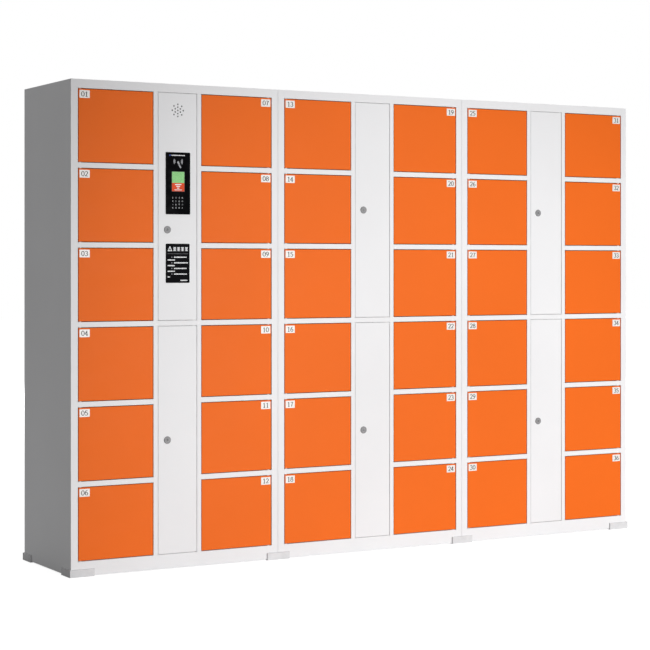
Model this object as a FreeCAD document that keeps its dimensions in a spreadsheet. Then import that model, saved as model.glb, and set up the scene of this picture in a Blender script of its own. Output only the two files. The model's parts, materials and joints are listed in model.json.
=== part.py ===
import FreeCAD, Part
import os
import re

import Sketcher
from FreeCAD import Rotation, Vector

# A bank of three electronic lockers. Each cabinet has two columns of six compartments, and
# between them a service column with an upper and a lower access door.
# Frame: +X to the right, +Y to the back, +Z up, origin on the floor below the middle of the bank.

DIMENSIONS = {
    # the cabinets
    "cabinet_count": 3,
    "cabinet_width": 848,
    "cabinet_depth": 476,
    "cabinet_height": 1800,
    "seam_inset": 0.5,
    "sheet_gauge": 1,
    "weld_gap": 0.1,
    # the door grid, from each cabinet's edges
    "side_margin": 29.6,
    "bottom_margin": 55.2,
    "row_count": 6,
    "row_pitch": 289,
    "door_width": 294.4,
    "door_height": 265.2,
    "door_gap": 2.4,
    "inner_stile": 17.1,
    # folded door leaves
    "leaf_depth": 18,
    "leaf_lip": 10,
    "leaf_bend": 1.2,
    # folded channels of the front frame
    "channel_depth": 16,
    "hinge_relief": 4,
    # pivot pins
    "pivot_inset": 9,
    "pin_radius": 2.5,
    "pin_clearance": 0.05,
    "pin_engagement": 4.6,
    "pin_root": 12,
    # the strike on a compartment door, and the electric lock that it enters
    "strike_gauge": 2.5,
    "strike_height": 24,
    "strike_foot": 2,
    "strike_foot_width": 8.5,
    "strike_foot_height": 44,
    "strike_reach": 24,
    "strike_inset": 4.8,
    "strike_window": 12,
    "lock_width": 24,
    "lock_depth": 44,
    "lock_height": 76,
    "lock_setback": 2.5,
    "lock_slot_width": 13,
    "lock_slot_height": 32,
    "lock_slot_depth": 26,
    # the key locks of the access doors
    "key_lock_inset": 36.5,
    "key_lock_drop": 86,
    "barrel_flange_radius": 12,
    "barrel_flange_gauge": 2.5,
    "barrel_radius": 9.5,
    "barrel_length": 19.6,
    "plug_radius": 6,
    "tail_radius": 4,
    "keyway_width": 2,
    "keyway_height": 8,
    "keyway_depth": 14,
    "cam_gauge": 2.5,
    "cam_width": 15,
    "cam_length": 43,
    "cam_nut_radius": 8,
    "cam_nut_gauge": 4,
    "keeper_length": 14,
    "keeper_gauge": 1.2,
    "keeper_height": 44,
    # the terminal on the first upper access door
    "terminal_width": 99,
    "terminal_height": 231,
    "terminal_gauge": 3,
    "terminal_corner": 3,
    "terminal_overlap": 4,
    "terminal_centre": 79.2,
    "terminal_bottom": 392.8,
    "housing_depth": 34,
    "housing_wall": 2,
    "speaker_drop": 63.1,
    "speaker_radius": 29,
    "speaker_depth": 20,
    "magnet_radius": 16,
    "speaker_hole_radius": 3,
    "speaker_outer_ring": 22.5,
    "speaker_inner_ring": 12,
    "speaker_outer_count": 8,
    "speaker_inner_count": 6,
    # the control box in the first cabinet's lower service bay
    "box_width": 130,
    "box_depth": 80,
    "box_height": 240,
    "box_level": 440,
    "box_wall": 1.5,
    "lid_gauge": 1.5,
    "gland_radius": 8,
    "gland_flange_radius": 11,
    "gland_flange_gauge": 2,
    "gland_level": 120,
    "gland_clearance": 0.2,
    # moulded feet
    "foot_width": 96,
    "foot_reach": 80,
    "foot_height": 28,
    "foot_wall": 6,
    "foot_sole": 3,
    "foot_round": 2,
}

doc = FreeCAD.newDocument("locker_bank")
sheet = doc.addObject("Spreadsheet::Sheet", "Dimensions")
for row, (alias, value) in enumerate(DIMENSIONS.items(), start=1):
    sheet.set(f"A{row}", alias)
    sheet.set(f"B{row}", str(value))
    sheet.setAlias(f"B{row}", alias)
doc.recompute()

CABINETS = range(DIMENSIONS["cabinet_count"])
ROWS = range(DIMENSIONS["row_count"])
HALF_ROWS = DIMENSIONS["row_count"] // 2

# Places that several parts share, as formulas of the driving dimensions.
FRONT = "(-cabinet_depth / 2)"
BACK = "(cabinet_depth / 2)"
FLOOR = "foot_sole"
SHELL_FLOOR = "(foot_sole + sheet_gauge)"
SHELL_HEIGHT = "(cabinet_height - 2 * sheet_gauge)"
OUTER_STILE = "(side_margin - door_gap)"
DOOR_RIGHT = "(side_margin + door_width)"
STILE_LEFT = f"({DOOR_RIGHT} + door_gap)"
ACCESS_LEFT = f"({STILE_LEFT} + inner_stile + door_gap)"
ACCESS_WIDTH = f"(cabinet_width - 2 * {ACCESS_LEFT})"
ACCESS_HEIGHT = f"({HALF_ROWS} * row_pitch - (row_pitch - door_height))"
RAIL_HEIGHT = "(row_pitch - door_height - 2 * door_gap)"
BOTTOM_RAIL = "(bottom_margin - door_gap - sheet_gauge)"
TOP_RAIL_LEVEL = f"(bottom_margin + {len(ROWS)} * row_pitch - {RAIL_HEIGHT} - door_gap)"
TOP_RAIL = f"(cabinet_height - sheet_gauge - {TOP_RAIL_LEVEL})"
PARTITION = f"({STILE_LEFT} + (inner_stile - sheet_gauge) / 2)"


def formula(text):
    """The text with each dimension's name pointing at its cell of the sheet."""
    return re.sub(
        r"[a-z]+(?:_[a-z]+)+",
        lambda word: f"Dimensions.{word.group()}" if word.group() in DIMENSIONS else word.group(),
        str(text),
    )


def bind(item, **sizes):
    """Binds properties such as Length to formulas of the sheet."""
    for name, text in sizes.items():
        item.setExpression(name, formula(text))
    return item


def place(item, x="0", y="0", z="0", turn=0, axis=(0, 0, 1)):
    """Puts an object at x, y, z, turned by so many degrees about an axis through its origin."""
    item.Placement.Rotation = Rotation(Vector(*axis), turn)
    for name, text in (("x", x), ("y", y), ("z", z)):
        item.setExpression(f"Placement.Base.{name}", formula(text))
    return item


def cabinet_left(cabinet):
    return f"(({cabinet} - cabinet_count / 2) * cabinet_width)"


def row_level(row):
    """The height of the lower edge of a row's doors, rows counted from the bottom."""
    return f"({FLOOR} + bottom_margin + {row} * row_pitch)"


def slab(name, x, y, z, length, width, height):
    box = doc.addObject("Part::Box", name)
    bind(box, Length=length, Width=width, Height=height)
    return place(box, x, y, z)


def rod(name, radius, length, x="0", y="0", z="0", turn=0, axis=(0, 0, 1)):
    cylinder = doc.addObject("Part::Cylinder", name)
    bind(cylinder, Radius=radius, Height=length)
    return place(cylinder, x, y, z, turn, axis)


def cut(name, base, tool):
    result = doc.addObject("Part::Cut", name)
    result.Base = base
    result.Tool = tool
    return result


def fuse(name, pieces):
    result = doc.addObject("Part::MultiFuse", name)
    result.Shapes = pieces
    return result


def copy(master, name, x="0", y="0", z="0", turn=0, axis=(0, 0, 1)):
    """One more of a master piece, at its own place."""
    result = doc.addObject("Part::Compound", name)
    result.Links = [master]
    return place(result, x, y, z, turn, axis)


NODES = []


def node(label, pieces):
    """Gathers a sub-part's separate solids under the name that its file has."""
    result = doc.addObject("Part::Compound", label)
    result.Label = label
    result.Links = pieces
    NODES.append(result)
    return result


# ---------------------------------------------------------------- sketches and features


def sketch_on(body, name, role, offset="0", across="0", up="0"):
    """An empty sketch on one of the body's own planes, moved along its normal and within it."""
    sketch = body.newObject("Sketcher::SketchObject", name)
    plane = next(item for item in body.Origin.OriginFeatures if item.Role == role)
    sketch.AttachmentSupport = [(plane, "")]
    sketch.MapMode = "FlatFace"
    for direction, text in (("x", across), ("y", up), ("z", offset)):
        sketch.setExpression(f"AttachmentOffset.Base.{direction}", formula(text))
    return sketch


def dimension(sketch, text, *points):
    """A signed horizontal or vertical distance that follows a formula."""
    number = sketch.addConstraint(Sketcher.Constraint(*points, 1.0))
    sketch.setExpression(f"Constraints[{number}]", formula(text))


def rectangle(sketch, left, bottom, width, height):
    first = sketch.GeometryCount
    corners = [Vector(0, 0, 0), Vector(1, 0, 0), Vector(1, 1, 0), Vector(0, 1, 0)]
    for start, end in zip(corners, corners[1:] + corners[:1]):
        sketch.addGeometry(Part.LineSegment(start, end))
    for side in range(4):
        following = first + (side + 1) % 4
        sketch.addConstraint(Sketcher.Constraint("Coincident", first + side, 2, following, 1))
        level = "Horizontal" if side % 2 == 0 else "Vertical"
        sketch.addConstraint(Sketcher.Constraint(level, first + side))
    dimension(sketch, left, "DistanceX", -1, 1, first, 1)
    dimension(sketch, bottom, "DistanceY", -1, 1, first, 1)
    dimension(sketch, width, "DistanceX", first, 1, first, 2)
    dimension(sketch, height, "DistanceY", first + 1, 1, first + 1, 2)


def circle(sketch, across, up, radius):
    number = sketch.addGeometry(Part.Circle(Vector(1, 1, 0), Vector(0, 0, 1), 1))
    dimension(sketch, across, "DistanceX", -1, 1, number, 3)
    dimension(sketch, up, "DistanceY", -1, 1, number, 3)
    dimension(sketch, radius, "Radius", number)


def pad(body, sketch, length, reverse=False):
    feature = body.newObject("PartDesign::Pad", sketch.Name + "_pad")
    feature.Profile = sketch
    feature.Reversed = reverse
    return bind(feature, Length=length)


def pocket(body, sketch, length, reverse=False):
    feature = body.newObject("PartDesign::Pocket", sketch.Name + "_pocket")
    feature.Profile = sketch
    feature.Reversed = reverse
    return bind(feature, Length=length)


def polygon(sketch, points):
    """A closed outline of straight sides, each corner a pair of formulas."""
    first = sketch.GeometryCount
    count = len(points)
    for number in range(count):
        start = Vector(number, number * number, 0)
        sketch.addGeometry(Part.LineSegment(start, start + Vector(1, 2, 0)))
    for number in range(count):
        following = first + (number + 1) % count
        sketch.addConstraint(Sketcher.Constraint("Coincident", first + number, 2, following, 1))
    for number, (across, up) in enumerate(points, start=first):
        dimension(sketch, across, "DistanceX", -1, 1, number, 1)
        dimension(sketch, up, "DistanceY", -1, 1, number, 1)


def turned(name, points):
    """A solid turned about the Y axis, from corners given as (depth, radius)."""
    body = doc.addObject("PartDesign::Body", name)
    profile = sketch_on(body, name + "_profile", "YZ_Plane")
    polygon(profile, points)
    feature = body.newObject("PartDesign::Revolution", name + "_turning")
    feature.Profile = profile
    feature.ReferenceAxis = (profile, ["H_Axis"])
    feature.Angle = 360
    return body


def ring_of(body, feature, sketch, count):
    """Repeats a feature all round its sketch's own origin."""
    pattern = body.newObject("PartDesign::PolarPattern", feature.Name + "_ring")
    pattern.Originals = [feature]
    pattern.Axis = (sketch, ["N_Axis"])
    pattern.Angle = 360
    bind(pattern, Occurrences=count)
    body.Tip = pattern
    return pattern


def edges_where(feature, test):
    """The names of a feature's straight edges whose every vertex passes a test."""
    doc.recompute()
    return [
        f"Edge{number}"
        for number, edge in enumerate(feature.Shape.Edges, start=1)
        if all(test(vertex.Point) for vertex in edge.Vertexes)
    ]


def rounded(body, feature, names, radius):
    result = body.newObject("PartDesign::Fillet", feature.Name + "_round")
    result.Base = (feature, names)
    return bind(result, Radius=radius)


# ---------------------------------------------------------------- door leaves


def folded_leaf(name, width, height, pin_x):
    """A pressed door pan with turned-in lips and a welded pivot pin at its top and bottom.

    Its origin is the lower left corner of its front face, which looks along -Y.
    """
    body = doc.addObject("PartDesign::Body", name)
    outline = sketch_on(body, name + "_outline", "XZ_Plane")
    rectangle(outline, "0", "0", width, height)
    block = pad(body, outline, "leaf_depth", reverse=True)
    front = edges_where(block, lambda point: abs(point.y) < 1e-6)
    rounded(body, block, front, "leaf_bend")

    wall = "sheet_gauge"
    cavity = sketch_on(body, name + "_cavity", "XZ_Plane", f"-{wall}")
    rectangle(cavity, wall, wall, f"{width} - 2 * {wall}", f"{height} - 2 * {wall}")
    pocket(body, cavity, f"leaf_depth - 2 * {wall}")
    mouth = sketch_on(body, name + "_mouth", "XZ_Plane", f"-{wall}")
    rectangle(mouth, "leaf_lip", "leaf_lip", f"{width} - 2 * leaf_lip", f"{height} - 2 * leaf_lip")
    pocket(body, mouth, "leaf_depth")

    reach = "(door_gap + pin_engagement)"
    for end, level in (("lower", f"-{reach}"), ("upper", f"{height} - pin_root")):
        pin = sketch_on(body, f"{name}_{end}_pin", "XY_Plane", level)
        circle(pin, pin_x, "pivot_inset", "pin_radius")
        pad(body, pin, f"{reach} + pin_root")
    return body


def add_lock_hole(body, height_of_lock):
    hole = sketch_on(body, body.Name + "_lock_hole", "XZ_Plane")
    circle(hole, "key_lock_inset", height_of_lock, "barrel_radius + weld_gap")
    pocket(body, hole, "2 * sheet_gauge")
    return body


left_leaf = folded_leaf("left_leaf", "door_width", "door_height", "pivot_inset")
right_leaf = folded_leaf("right_leaf", "door_width", "door_height", "door_width - pivot_inset")

# The steel loop behind a compartment door's free edge, which its electric lock holds.
# Its origin is in the middle of the loop's width and height, in the plane of the door's back.
strike = doc.addObject("PartDesign::Body", "strike")
strike_plate = sketch_on(strike, "strike_plate", "XZ_Plane", "-weld_gap")
rectangle(
    strike_plate,
    "-strike_foot_width / 2",
    "-strike_foot_height / 2",
    "strike_foot_width",
    "strike_foot_height",
)
pad(strike, strike_plate, "strike_foot", reverse=True)
strike_loop = sketch_on(strike, "strike_loop", "YZ_Plane", "-strike_gauge / 2")
rectangle(strike_loop, "strike_foot / 2", "-strike_height / 2", "strike_reach", "strike_height")
pad(strike, strike_loop, "strike_gauge")
strike_window = sketch_on(strike, "strike_window", "YZ_Plane", "strike_gauge / 2")
rectangle(
    strike_window,
    "strike_reach - strike_window - strike_foot",
    "-strike_window / 2",
    "strike_window",
    "strike_window",
)
pocket(strike, strike_window, "strike_gauge")

MIDDLE_LOCK = f"({ACCESS_HEIGHT} / 2)"
LOW_LOCK = f"({MIDDLE_LOCK} - key_lock_drop)"
ACCESS_PIVOT = f"{ACCESS_WIDTH} - pivot_inset"
plain_access_leaf = folded_leaf("plain_access_leaf", ACCESS_WIDTH, ACCESS_HEIGHT, ACCESS_PIVOT)
add_lock_hole(plain_access_leaf, MIDDLE_LOCK)

terminal_leaf = folded_leaf("terminal_leaf", ACCESS_WIDTH, ACCESS_HEIGHT, ACCESS_PIVOT)
add_lock_hole(terminal_leaf, LOW_LOCK)
window_sketch = sketch_on(terminal_leaf, "terminal_cutout", "XZ_Plane")
rectangle(
    window_sketch,
    "terminal_centre - terminal_width / 2 + terminal_overlap",
    "terminal_bottom + terminal_overlap",
    "terminal_width - 2 * terminal_overlap",
    "terminal_height - 2 * terminal_overlap",
)
pocket(terminal_leaf, window_sketch, "2 * sheet_gauge")

SPEAKER_LEVEL = f"({ACCESS_HEIGHT} - speaker_drop)"
middle_hole = sketch_on(
    terminal_leaf, "speaker_middle", "XZ_Plane", "0", "terminal_centre", SPEAKER_LEVEL
)
circle(middle_hole, "0", "0", "speaker_hole_radius")
pocket(terminal_leaf, middle_hole, "2 * sheet_gauge")
for ring in ("speaker_outer", "speaker_inner"):
    ring_sketch = sketch_on(
        terminal_leaf, ring + "_hole", "XZ_Plane", "0", "terminal_centre", SPEAKER_LEVEL
    )
    circle(ring_sketch, "0", ring + "_ring", "speaker_hole_radius")
    ring_hole = pocket(terminal_leaf, ring_sketch, "2 * sheet_gauge")
    ring_of(terminal_leaf, ring_hole, ring_sketch, ring + "_count")


# ---------------------------------------------------------------- front frame


def channel(name, length, height, hinge, lower_return, upper_return):
    """A rail folded from sheet, with holes for the pivot pins of the doors above and below.

    Its origin is the lower left corner of its front face.
    """
    body = doc.addObject("PartDesign::Body", name)
    outline = sketch_on(body, name + "_outline", "YZ_Plane")
    rectangle(outline, "0", "0", "channel_depth", height)
    pad(body, outline, length)
    bottom = "sheet_gauge" if lower_return else "-sheet_gauge"
    returns = 2 if lower_return and upper_return else 0
    inside = sketch_on(body, name + "_inside", "YZ_Plane")
    rectangle(inside, "sheet_gauge", bottom, "channel_depth", f"{height} - {returns} * sheet_gauge")
    pocket(body, inside, length, reverse=True)
    inset = "(pivot_inset + door_gap - weld_gap)"
    pin_x = inset if hinge == "left" else f"{length} - {inset}"
    hole = sketch_on(body, name + "_pin_hole", "XY_Plane", f"{height} + sheet_gauge")
    circle(hole, pin_x, "pivot_inset", "pin_radius + pin_clearance")
    pocket(body, hole, f"{height} + 2 * sheet_gauge")
    return body


def stile(name, width, voids):
    """An upright of the front frame, a flange with folded returns between the voids behind it."""
    body = doc.addObject("PartDesign::Body", name)
    plan = sketch_on(body, name + "_plan", "XY_Plane")
    rectangle(plan, "0", "0", width, "channel_depth")
    pad(body, plan, SHELL_HEIGHT)
    behind = sketch_on(body, name + "_behind", "XY_Plane")
    for left, right in voids:
        rectangle(behind, left, "sheet_gauge", f"{right} - ({left})", "channel_depth")
    pocket(body, behind, SHELL_HEIGHT, reverse=True)
    return body


OUTER_WIDTH = f"({OUTER_STILE} - seam_inset)"
OUTER_FOLD = f"({OUTER_WIDTH} - hinge_relief)"
left_stile = stile(
    "left_stile",
    OUTER_WIDTH,
    [("-sheet_gauge", f"{OUTER_FOLD} - sheet_gauge"), (OUTER_FOLD, f"{OUTER_WIDTH} + sheet_gauge")],
)
right_stile = stile(
    "right_stile",
    OUTER_WIDTH,
    [("-sheet_gauge", "hinge_relief"), ("hinge_relief + sheet_gauge", f"{OUTER_WIDTH} + sheet_gauge")],
)
lock_stile = stile("lock_stile", "inner_stile", [("sheet_gauge", "inner_stile - sheet_gauge")])
hinge_stile = stile(
    "hinge_stile",
    "inner_stile",
    [("-sheet_gauge", "hinge_relief"), ("hinge_relief + sheet_gauge", "inner_stile - sheet_gauge")],
)

# Each column's rails: the name, the left edge of its doors, their width and their hinge side.
COLUMNS = (
    ("left", "side_margin", "door_width", "left"),
    ("access", ACCESS_LEFT, ACCESS_WIDTH, "right"),
    ("right", f"(cabinet_width - {DOOR_RIGHT})", "door_width", "right"),
)
frame_pieces = []
for column, column_left, column_width, hinge_side in COLUMNS:
    rail_length = f"({column_width} + 2 * (door_gap - weld_gap))"
    rail_x = f"({column_left} - door_gap + weld_gap)"
    bottom_rail = channel(column + "_bottom_rail", rail_length, BOTTOM_RAIL, hinge_side, False, True)
    middle_rail = channel(column + "_middle_rail", rail_length, RAIL_HEIGHT, hinge_side, True, True)
    top_rail = channel(column + "_top_rail", rail_length, TOP_RAIL, hinge_side, True, False)
    rows_between = [HALF_ROWS] if column == "access" else ROWS[1:]
    for cabinet in CABINETS:
        rail_place = f"{cabinet_left(cabinet)} + {rail_x}"
        name = f"cabinet_{cabinet + 1}_{column}"
        frame_pieces.append(copy(bottom_rail, name + "_bottom_rail", rail_place, FRONT, SHELL_FLOOR))
        frame_pieces.append(
            copy(top_rail, name + "_top_rail", rail_place, FRONT, f"{FLOOR} + {TOP_RAIL_LEVEL}")
        )
        for row in rows_between:
            level = f"{row_level(row)} - door_gap - {RAIL_HEIGHT}"
            frame_pieces.append(copy(middle_rail, f"{name}_rail_{row}", rail_place, FRONT, level))

MIRRORED_LOCK_STILE = f"(cabinet_width - {STILE_LEFT} - inner_stile)"
for cabinet in CABINETS:
    left = cabinet_left(cabinet)
    for upright, stile_x in (
        (left_stile, "seam_inset"),
        (lock_stile, STILE_LEFT),
        (hinge_stile, MIRRORED_LOCK_STILE),
        (right_stile, f"(cabinet_width - {OUTER_STILE})"),
    ):
        name = f"cabinet_{cabinet + 1}_{upright.Name}"
        frame_pieces.append(copy(upright, name, f"{left} + {stile_x}", FRONT, SHELL_FLOOR))


# ---------------------------------------------------------------- cabinet sheets


def lock_level(cabinet, level):
    """The height of an access door's key lock above the lower edge of its door."""
    return LOW_LOCK if cabinet == 0 and level == "upper" else MIDDLE_LOCK


ACCESS_ROWS = {"lower": 0, "upper": HALF_ROWS}
side_pieces = []
back_pieces = []
roof_pieces = []
partition_pieces = []
shelf_pieces = []
for cabinet in CABINETS:
    left = cabinet_left(cabinet)
    tag = f"cabinet_{cabinet + 1}"
    outer_width = "cabinet_width - 2 * seam_inset"
    inner_depth = "cabinet_depth - 2 * sheet_gauge"
    for side, side_x in (("left", "seam_inset"), ("right", "cabinet_width - seam_inset - sheet_gauge")):
        side_pieces.append(
            slab(
                f"{tag}_{side}_side",
                f"{left} + {side_x}",
                f"{FRONT} + sheet_gauge",
                SHELL_FLOOR,
                "sheet_gauge",
                inner_depth,
                SHELL_HEIGHT,
            )
        )
    back_pieces.append(
        slab(
            tag + "_back",
            f"{left} + seam_inset",
            f"{BACK} - sheet_gauge",
            SHELL_FLOOR,
            outer_width,
            "sheet_gauge",
            SHELL_HEIGHT,
        )
    )
    for sheets, name, level in (
        (roof_pieces, tag + "_roof", f"{FLOOR} + cabinet_height - sheet_gauge"),
        (shelf_pieces, tag + "_floor", FLOOR),
    ):
        sheets.append(
            slab(name, f"{left} + seam_inset", FRONT, level, outer_width, "cabinet_depth", "sheet_gauge")
        )
    for side, partition_x in (("left", PARTITION), ("right", f"cabinet_width - {PARTITION} - sheet_gauge")):
        partition_pieces.append(
            slab(
                f"{tag}_{side}_partition",
                f"{left} + {partition_x}",
                f"{FRONT} + sheet_gauge",
                SHELL_FLOOR,
                "sheet_gauge",
                inner_depth,
                SHELL_HEIGHT,
            )
        )
    side_wall = "(seam_inset + sheet_gauge)"
    bays = (
        ("left", side_wall, f"{PARTITION} - {side_wall}", ROWS[1:]),
        (
            "access",
            f"({PARTITION} + sheet_gauge)",
            f"cabinet_width - 2 * ({PARTITION} + sheet_gauge)",
            [HALF_ROWS],
        ),
        ("right", f"(cabinet_width - {PARTITION})", f"{PARTITION} - {side_wall}", ROWS[1:]),
    )
    for bay, bay_x, bay_width, rows in bays:
        for row in rows:
            shelf_pieces.append(
                slab(
                    f"{tag}_{bay}_shelf_{row}",
                    f"{left} + {bay_x}",
                    f"{FRONT} + channel_depth",
                    f"{row_level(row)} - door_gap - sheet_gauge",
                    bay_width,
                    "cabinet_depth - channel_depth - sheet_gauge",
                    "sheet_gauge",
                )
            )
    for level, row in ACCESS_ROWS.items():
        frame_pieces.append(
            slab(
                f"{tag}_{level}_keeper",
                f"{left} + {PARTITION} + sheet_gauge",
                f"{FRONT} + leaf_depth + keeper_gauge / 3",
                f"{row_level(row)} + {lock_level(cabinet, level)} - keeper_height / 2",
                "keeper_length",
                "keeper_gauge",
                "keeper_height",
            )
        )

node("side_panels", side_pieces)
node("roof_panels", roof_pieces)
node("front_frames", frame_pieces)
node("column_partitions", partition_pieces)
node("shelves_and_floors", shelf_pieces)

# The cable gland's hole goes through the first cabinet's back.
gland_place = (
    f"{cabinet_left(0)} + cabinet_width / 2",
    f"{BACK} + gland_flange_gauge",
    f"{FLOOR} + gland_level",
)
gland_hole = rod("gland_hole", "gland_radius", "4 * gland_flange_gauge", *gland_place, 90, (1, 0, 0))
back_pieces[0] = cut("pierced_back", back_pieces[0], gland_hole)
node("back_panels", back_pieces)


# ---------------------------------------------------------------- feet


def foot(name, side_wall):
    """A moulded shoe with a sole and a front wall, and a left wall where it is a corner's.

    Its origin is on the floor, below the cabinet's front edge: at the corner of the cabinet,
    or in the middle of the shoe.
    """
    body = doc.addObject("PartDesign::Body", name)
    outer_left = "-foot_wall" if side_wall else "-foot_width / 2"
    inner_left = "0" if side_wall else "-foot_width"
    block_sketch = sketch_on(body, name + "_sole", "XY_Plane")
    rectangle(block_sketch, outer_left, "-foot_wall", "foot_width", "foot_reach + foot_wall")
    block = pad(body, block_sketch, "foot_height")
    wall = DIMENSIONS["foot_wall"]
    corner_x = -wall if side_wall else -DIMENSIONS["foot_width"] / 2
    uprights = edges_where(block, lambda point: abs(point.y + wall) < 1e-6 and abs(point.x - corner_x) < 1e-6)
    top_front = edges_where(
        block, lambda point: abs(point.y + wall) < 1e-6 and point.z > DIMENSIONS["foot_height"] - 1e-6
    )
    rounded(body, block, uprights + top_front, "foot_round")
    inside = sketch_on(body, name + "_inside", "XY_Plane", "foot_sole")
    rectangle(inside, inner_left, "0", "2 * foot_width", "2 * foot_reach")
    pocket(body, inside, "foot_height", reverse=True)
    return body


corner_foot = foot("corner_foot", True)
seam_foot = foot("seam_foot", False)
mirrored_corner = doc.addObject("Part::Mirroring", "mirrored_corner_foot")
mirrored_corner.Source = corner_foot
mirrored_corner.Normal = Vector(1, 0, 0)

HALF_BANK = "(cabinet_count * cabinet_width / 2 - seam_inset)"
foot_pieces = [
    copy(corner_foot, "front_left_foot", f"-{HALF_BANK}", FRONT),
    copy(mirrored_corner, "front_right_foot", HALF_BANK, FRONT),
    copy(corner_foot, "back_right_foot", HALF_BANK, BACK, "0", 180),
    copy(mirrored_corner, "back_left_foot", f"-{HALF_BANK}", BACK, "0", 180),
]
for cabinet in CABINETS[1:]:
    foot_pieces.append(copy(seam_foot, f"front_foot_{cabinet}", cabinet_left(cabinet), FRONT))
    foot_pieces.append(copy(seam_foot, f"back_foot_{cabinet}", cabinet_left(cabinet), BACK, "0", 180))
node("base_feet", foot_pieces)

# ---------------------------------------------------------------- locks

electric_lock = doc.addObject("PartDesign::Body", "electric_lock")
case_sketch = sketch_on(electric_lock, "lock_case", "XZ_Plane")
rectangle(case_sketch, "0", "0", "lock_width", "lock_height")
case_block = pad(electric_lock, case_sketch, "lock_depth", reverse=True)
case_corners = edges_where(case_block, lambda point: point.x < 1e-6)
rounded(electric_lock, case_block, case_corners, "leaf_bend")
slot_sketch = sketch_on(electric_lock, "lock_slot", "XZ_Plane")
rectangle(
    slot_sketch,
    "lock_width / 2 - lock_slot_width / 2",
    "lock_height / 2 - lock_slot_height / 2",
    "lock_slot_width",
    "lock_slot_height",
)
pocket(electric_lock, slot_sketch, "lock_slot_depth")

lock_barrel = turned(
    "lock_barrel",
    [
        ("-weld_gap - barrel_flange_gauge", "plug_radius + pin_clearance"),
        ("-weld_gap - barrel_flange_gauge", "barrel_flange_radius - 1"),
        ("-weld_gap - barrel_flange_gauge + 1", "barrel_flange_radius"),
        ("-weld_gap", "barrel_flange_radius"),
        ("-weld_gap", "barrel_radius"),
        ("barrel_length", "barrel_radius"),
        ("barrel_length", "plug_radius + pin_clearance"),
    ],
)

PLUG_FACE = "(weld_gap + barrel_flange_gauge + sheet_gauge / 2)"
SHOULDER = "(barrel_length + sheet_gauge / 2)"
CAM_FRONT = f"({SHOULDER} + weld_gap)"
NUT_FRONT = f"({CAM_FRONT} + cam_gauge + weld_gap)"
lock_plug = turned(
    "lock_plug",
    [
        (f"-{PLUG_FACE}", "0"),
        (f"-{PLUG_FACE}", "plug_radius - 0.6"),
        (f"-{PLUG_FACE} + 0.6", "plug_radius"),
        (SHOULDER, "plug_radius"),
        (SHOULDER, "tail_radius"),
        (f"{NUT_FRONT} + cam_nut_gauge + 1", "tail_radius"),
        (f"{NUT_FRONT} + cam_nut_gauge + 1", "0"),
    ],
)
keyway = sketch_on(lock_plug, "keyway", "XZ_Plane", PLUG_FACE)
rectangle(keyway, "-keyway_width / 2", "-keyway_height / 2", "keyway_width", "keyway_height")
pocket(lock_plug, keyway, "keyway_depth")

lock_cam = doc.addObject("PartDesign::Body", "lock_cam")
cam_sketch = sketch_on(lock_cam, "cam_outline", "XZ_Plane", f"-{CAM_FRONT}")
rectangle(cam_sketch, "-cam_width / 2", "-cam_length", "cam_width", "cam_length + cam_width / 2")
cam_block = pad(lock_cam, cam_sketch, "cam_gauge", reverse=True)
doc.recompute()
cam_edges = [
    f"Edge{number}"
    for number, edge in enumerate(cam_block.Shape.Edges, start=1)
    if abs(edge.Length - DIMENSIONS["cam_gauge"]) < 1e-6
]
rounded(lock_cam, cam_block, cam_edges, "cam_width / 2 - 0.5")
cam_hole = sketch_on(lock_cam, "cam_hole", "XZ_Plane", f"-{CAM_FRONT}")
circle(cam_hole, "0", "0", "tail_radius + weld_gap")
pocket(lock_cam, cam_hole, "cam_gauge")

hexagon = doc.addObject("Part::Prism", "nut_hexagon")
hexagon.Polygon = 6
bind(hexagon, Circumradius="cam_nut_radius", Height="cam_nut_gauge")
nut_bore = rod("nut_bore", "tail_radius + weld_gap", "cam_nut_gauge")
cam_nut = cut("cam_nut", hexagon, nut_bore)
place(cam_nut, "0", f"{NUT_FRONT} + cam_nut_gauge", "0", 90, (1, 0, 0))

# ---------------------------------------------------------------- terminal

PANEL_LEFT = "(terminal_centre - terminal_width / 2)"
terminal_glass = doc.addObject("PartDesign::Body", "terminal_glass")
glass_sketch = sketch_on(terminal_glass, "glass_outline", "XZ_Plane")
rectangle(glass_sketch, PANEL_LEFT, "terminal_bottom", "terminal_width", "terminal_height")
glass_block = pad(terminal_glass, glass_sketch, "terminal_gauge")
doc.recompute()
glass_corners = [
    f"Edge{number}"
    for number, edge in enumerate(glass_block.Shape.Edges, start=1)
    if abs(edge.Length - DIMENSIONS["terminal_gauge"]) < 1e-6
]
rounded(terminal_glass, glass_block, glass_corners, "terminal_corner")

terminal_case = doc.addObject("PartDesign::Body", "terminal_case")
SLEEVE_INSET = "(terminal_overlap + pin_clearance * 4)"
sleeve = sketch_on(terminal_case, "case_sleeve", "XZ_Plane")
rectangle(
    sleeve,
    f"{PANEL_LEFT} + {SLEEVE_INSET}",
    f"terminal_bottom + {SLEEVE_INSET}",
    f"terminal_width - 2 * {SLEEVE_INSET}",
    f"terminal_height - 2 * {SLEEVE_INSET}",
)
pad(terminal_case, sleeve, "housing_depth", reverse=True)
flange = sketch_on(terminal_case, "case_flange", "XZ_Plane", "-sheet_gauge")
rectangle(flange, PANEL_LEFT, "terminal_bottom", "terminal_width", "terminal_height")
pad(terminal_case, flange, "housing_wall", reverse=True)
hollow = sketch_on(terminal_case, "case_hollow", "XZ_Plane")
rectangle(
    hollow,
    f"{PANEL_LEFT} + {SLEEVE_INSET} + housing_wall",
    f"terminal_bottom + {SLEEVE_INSET} + housing_wall",
    f"terminal_width - 2 * ({SLEEVE_INSET} + housing_wall)",
    f"terminal_height - 2 * ({SLEEVE_INSET} + housing_wall)",
)
pocket(terminal_case, hollow, "housing_depth - housing_wall")

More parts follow.
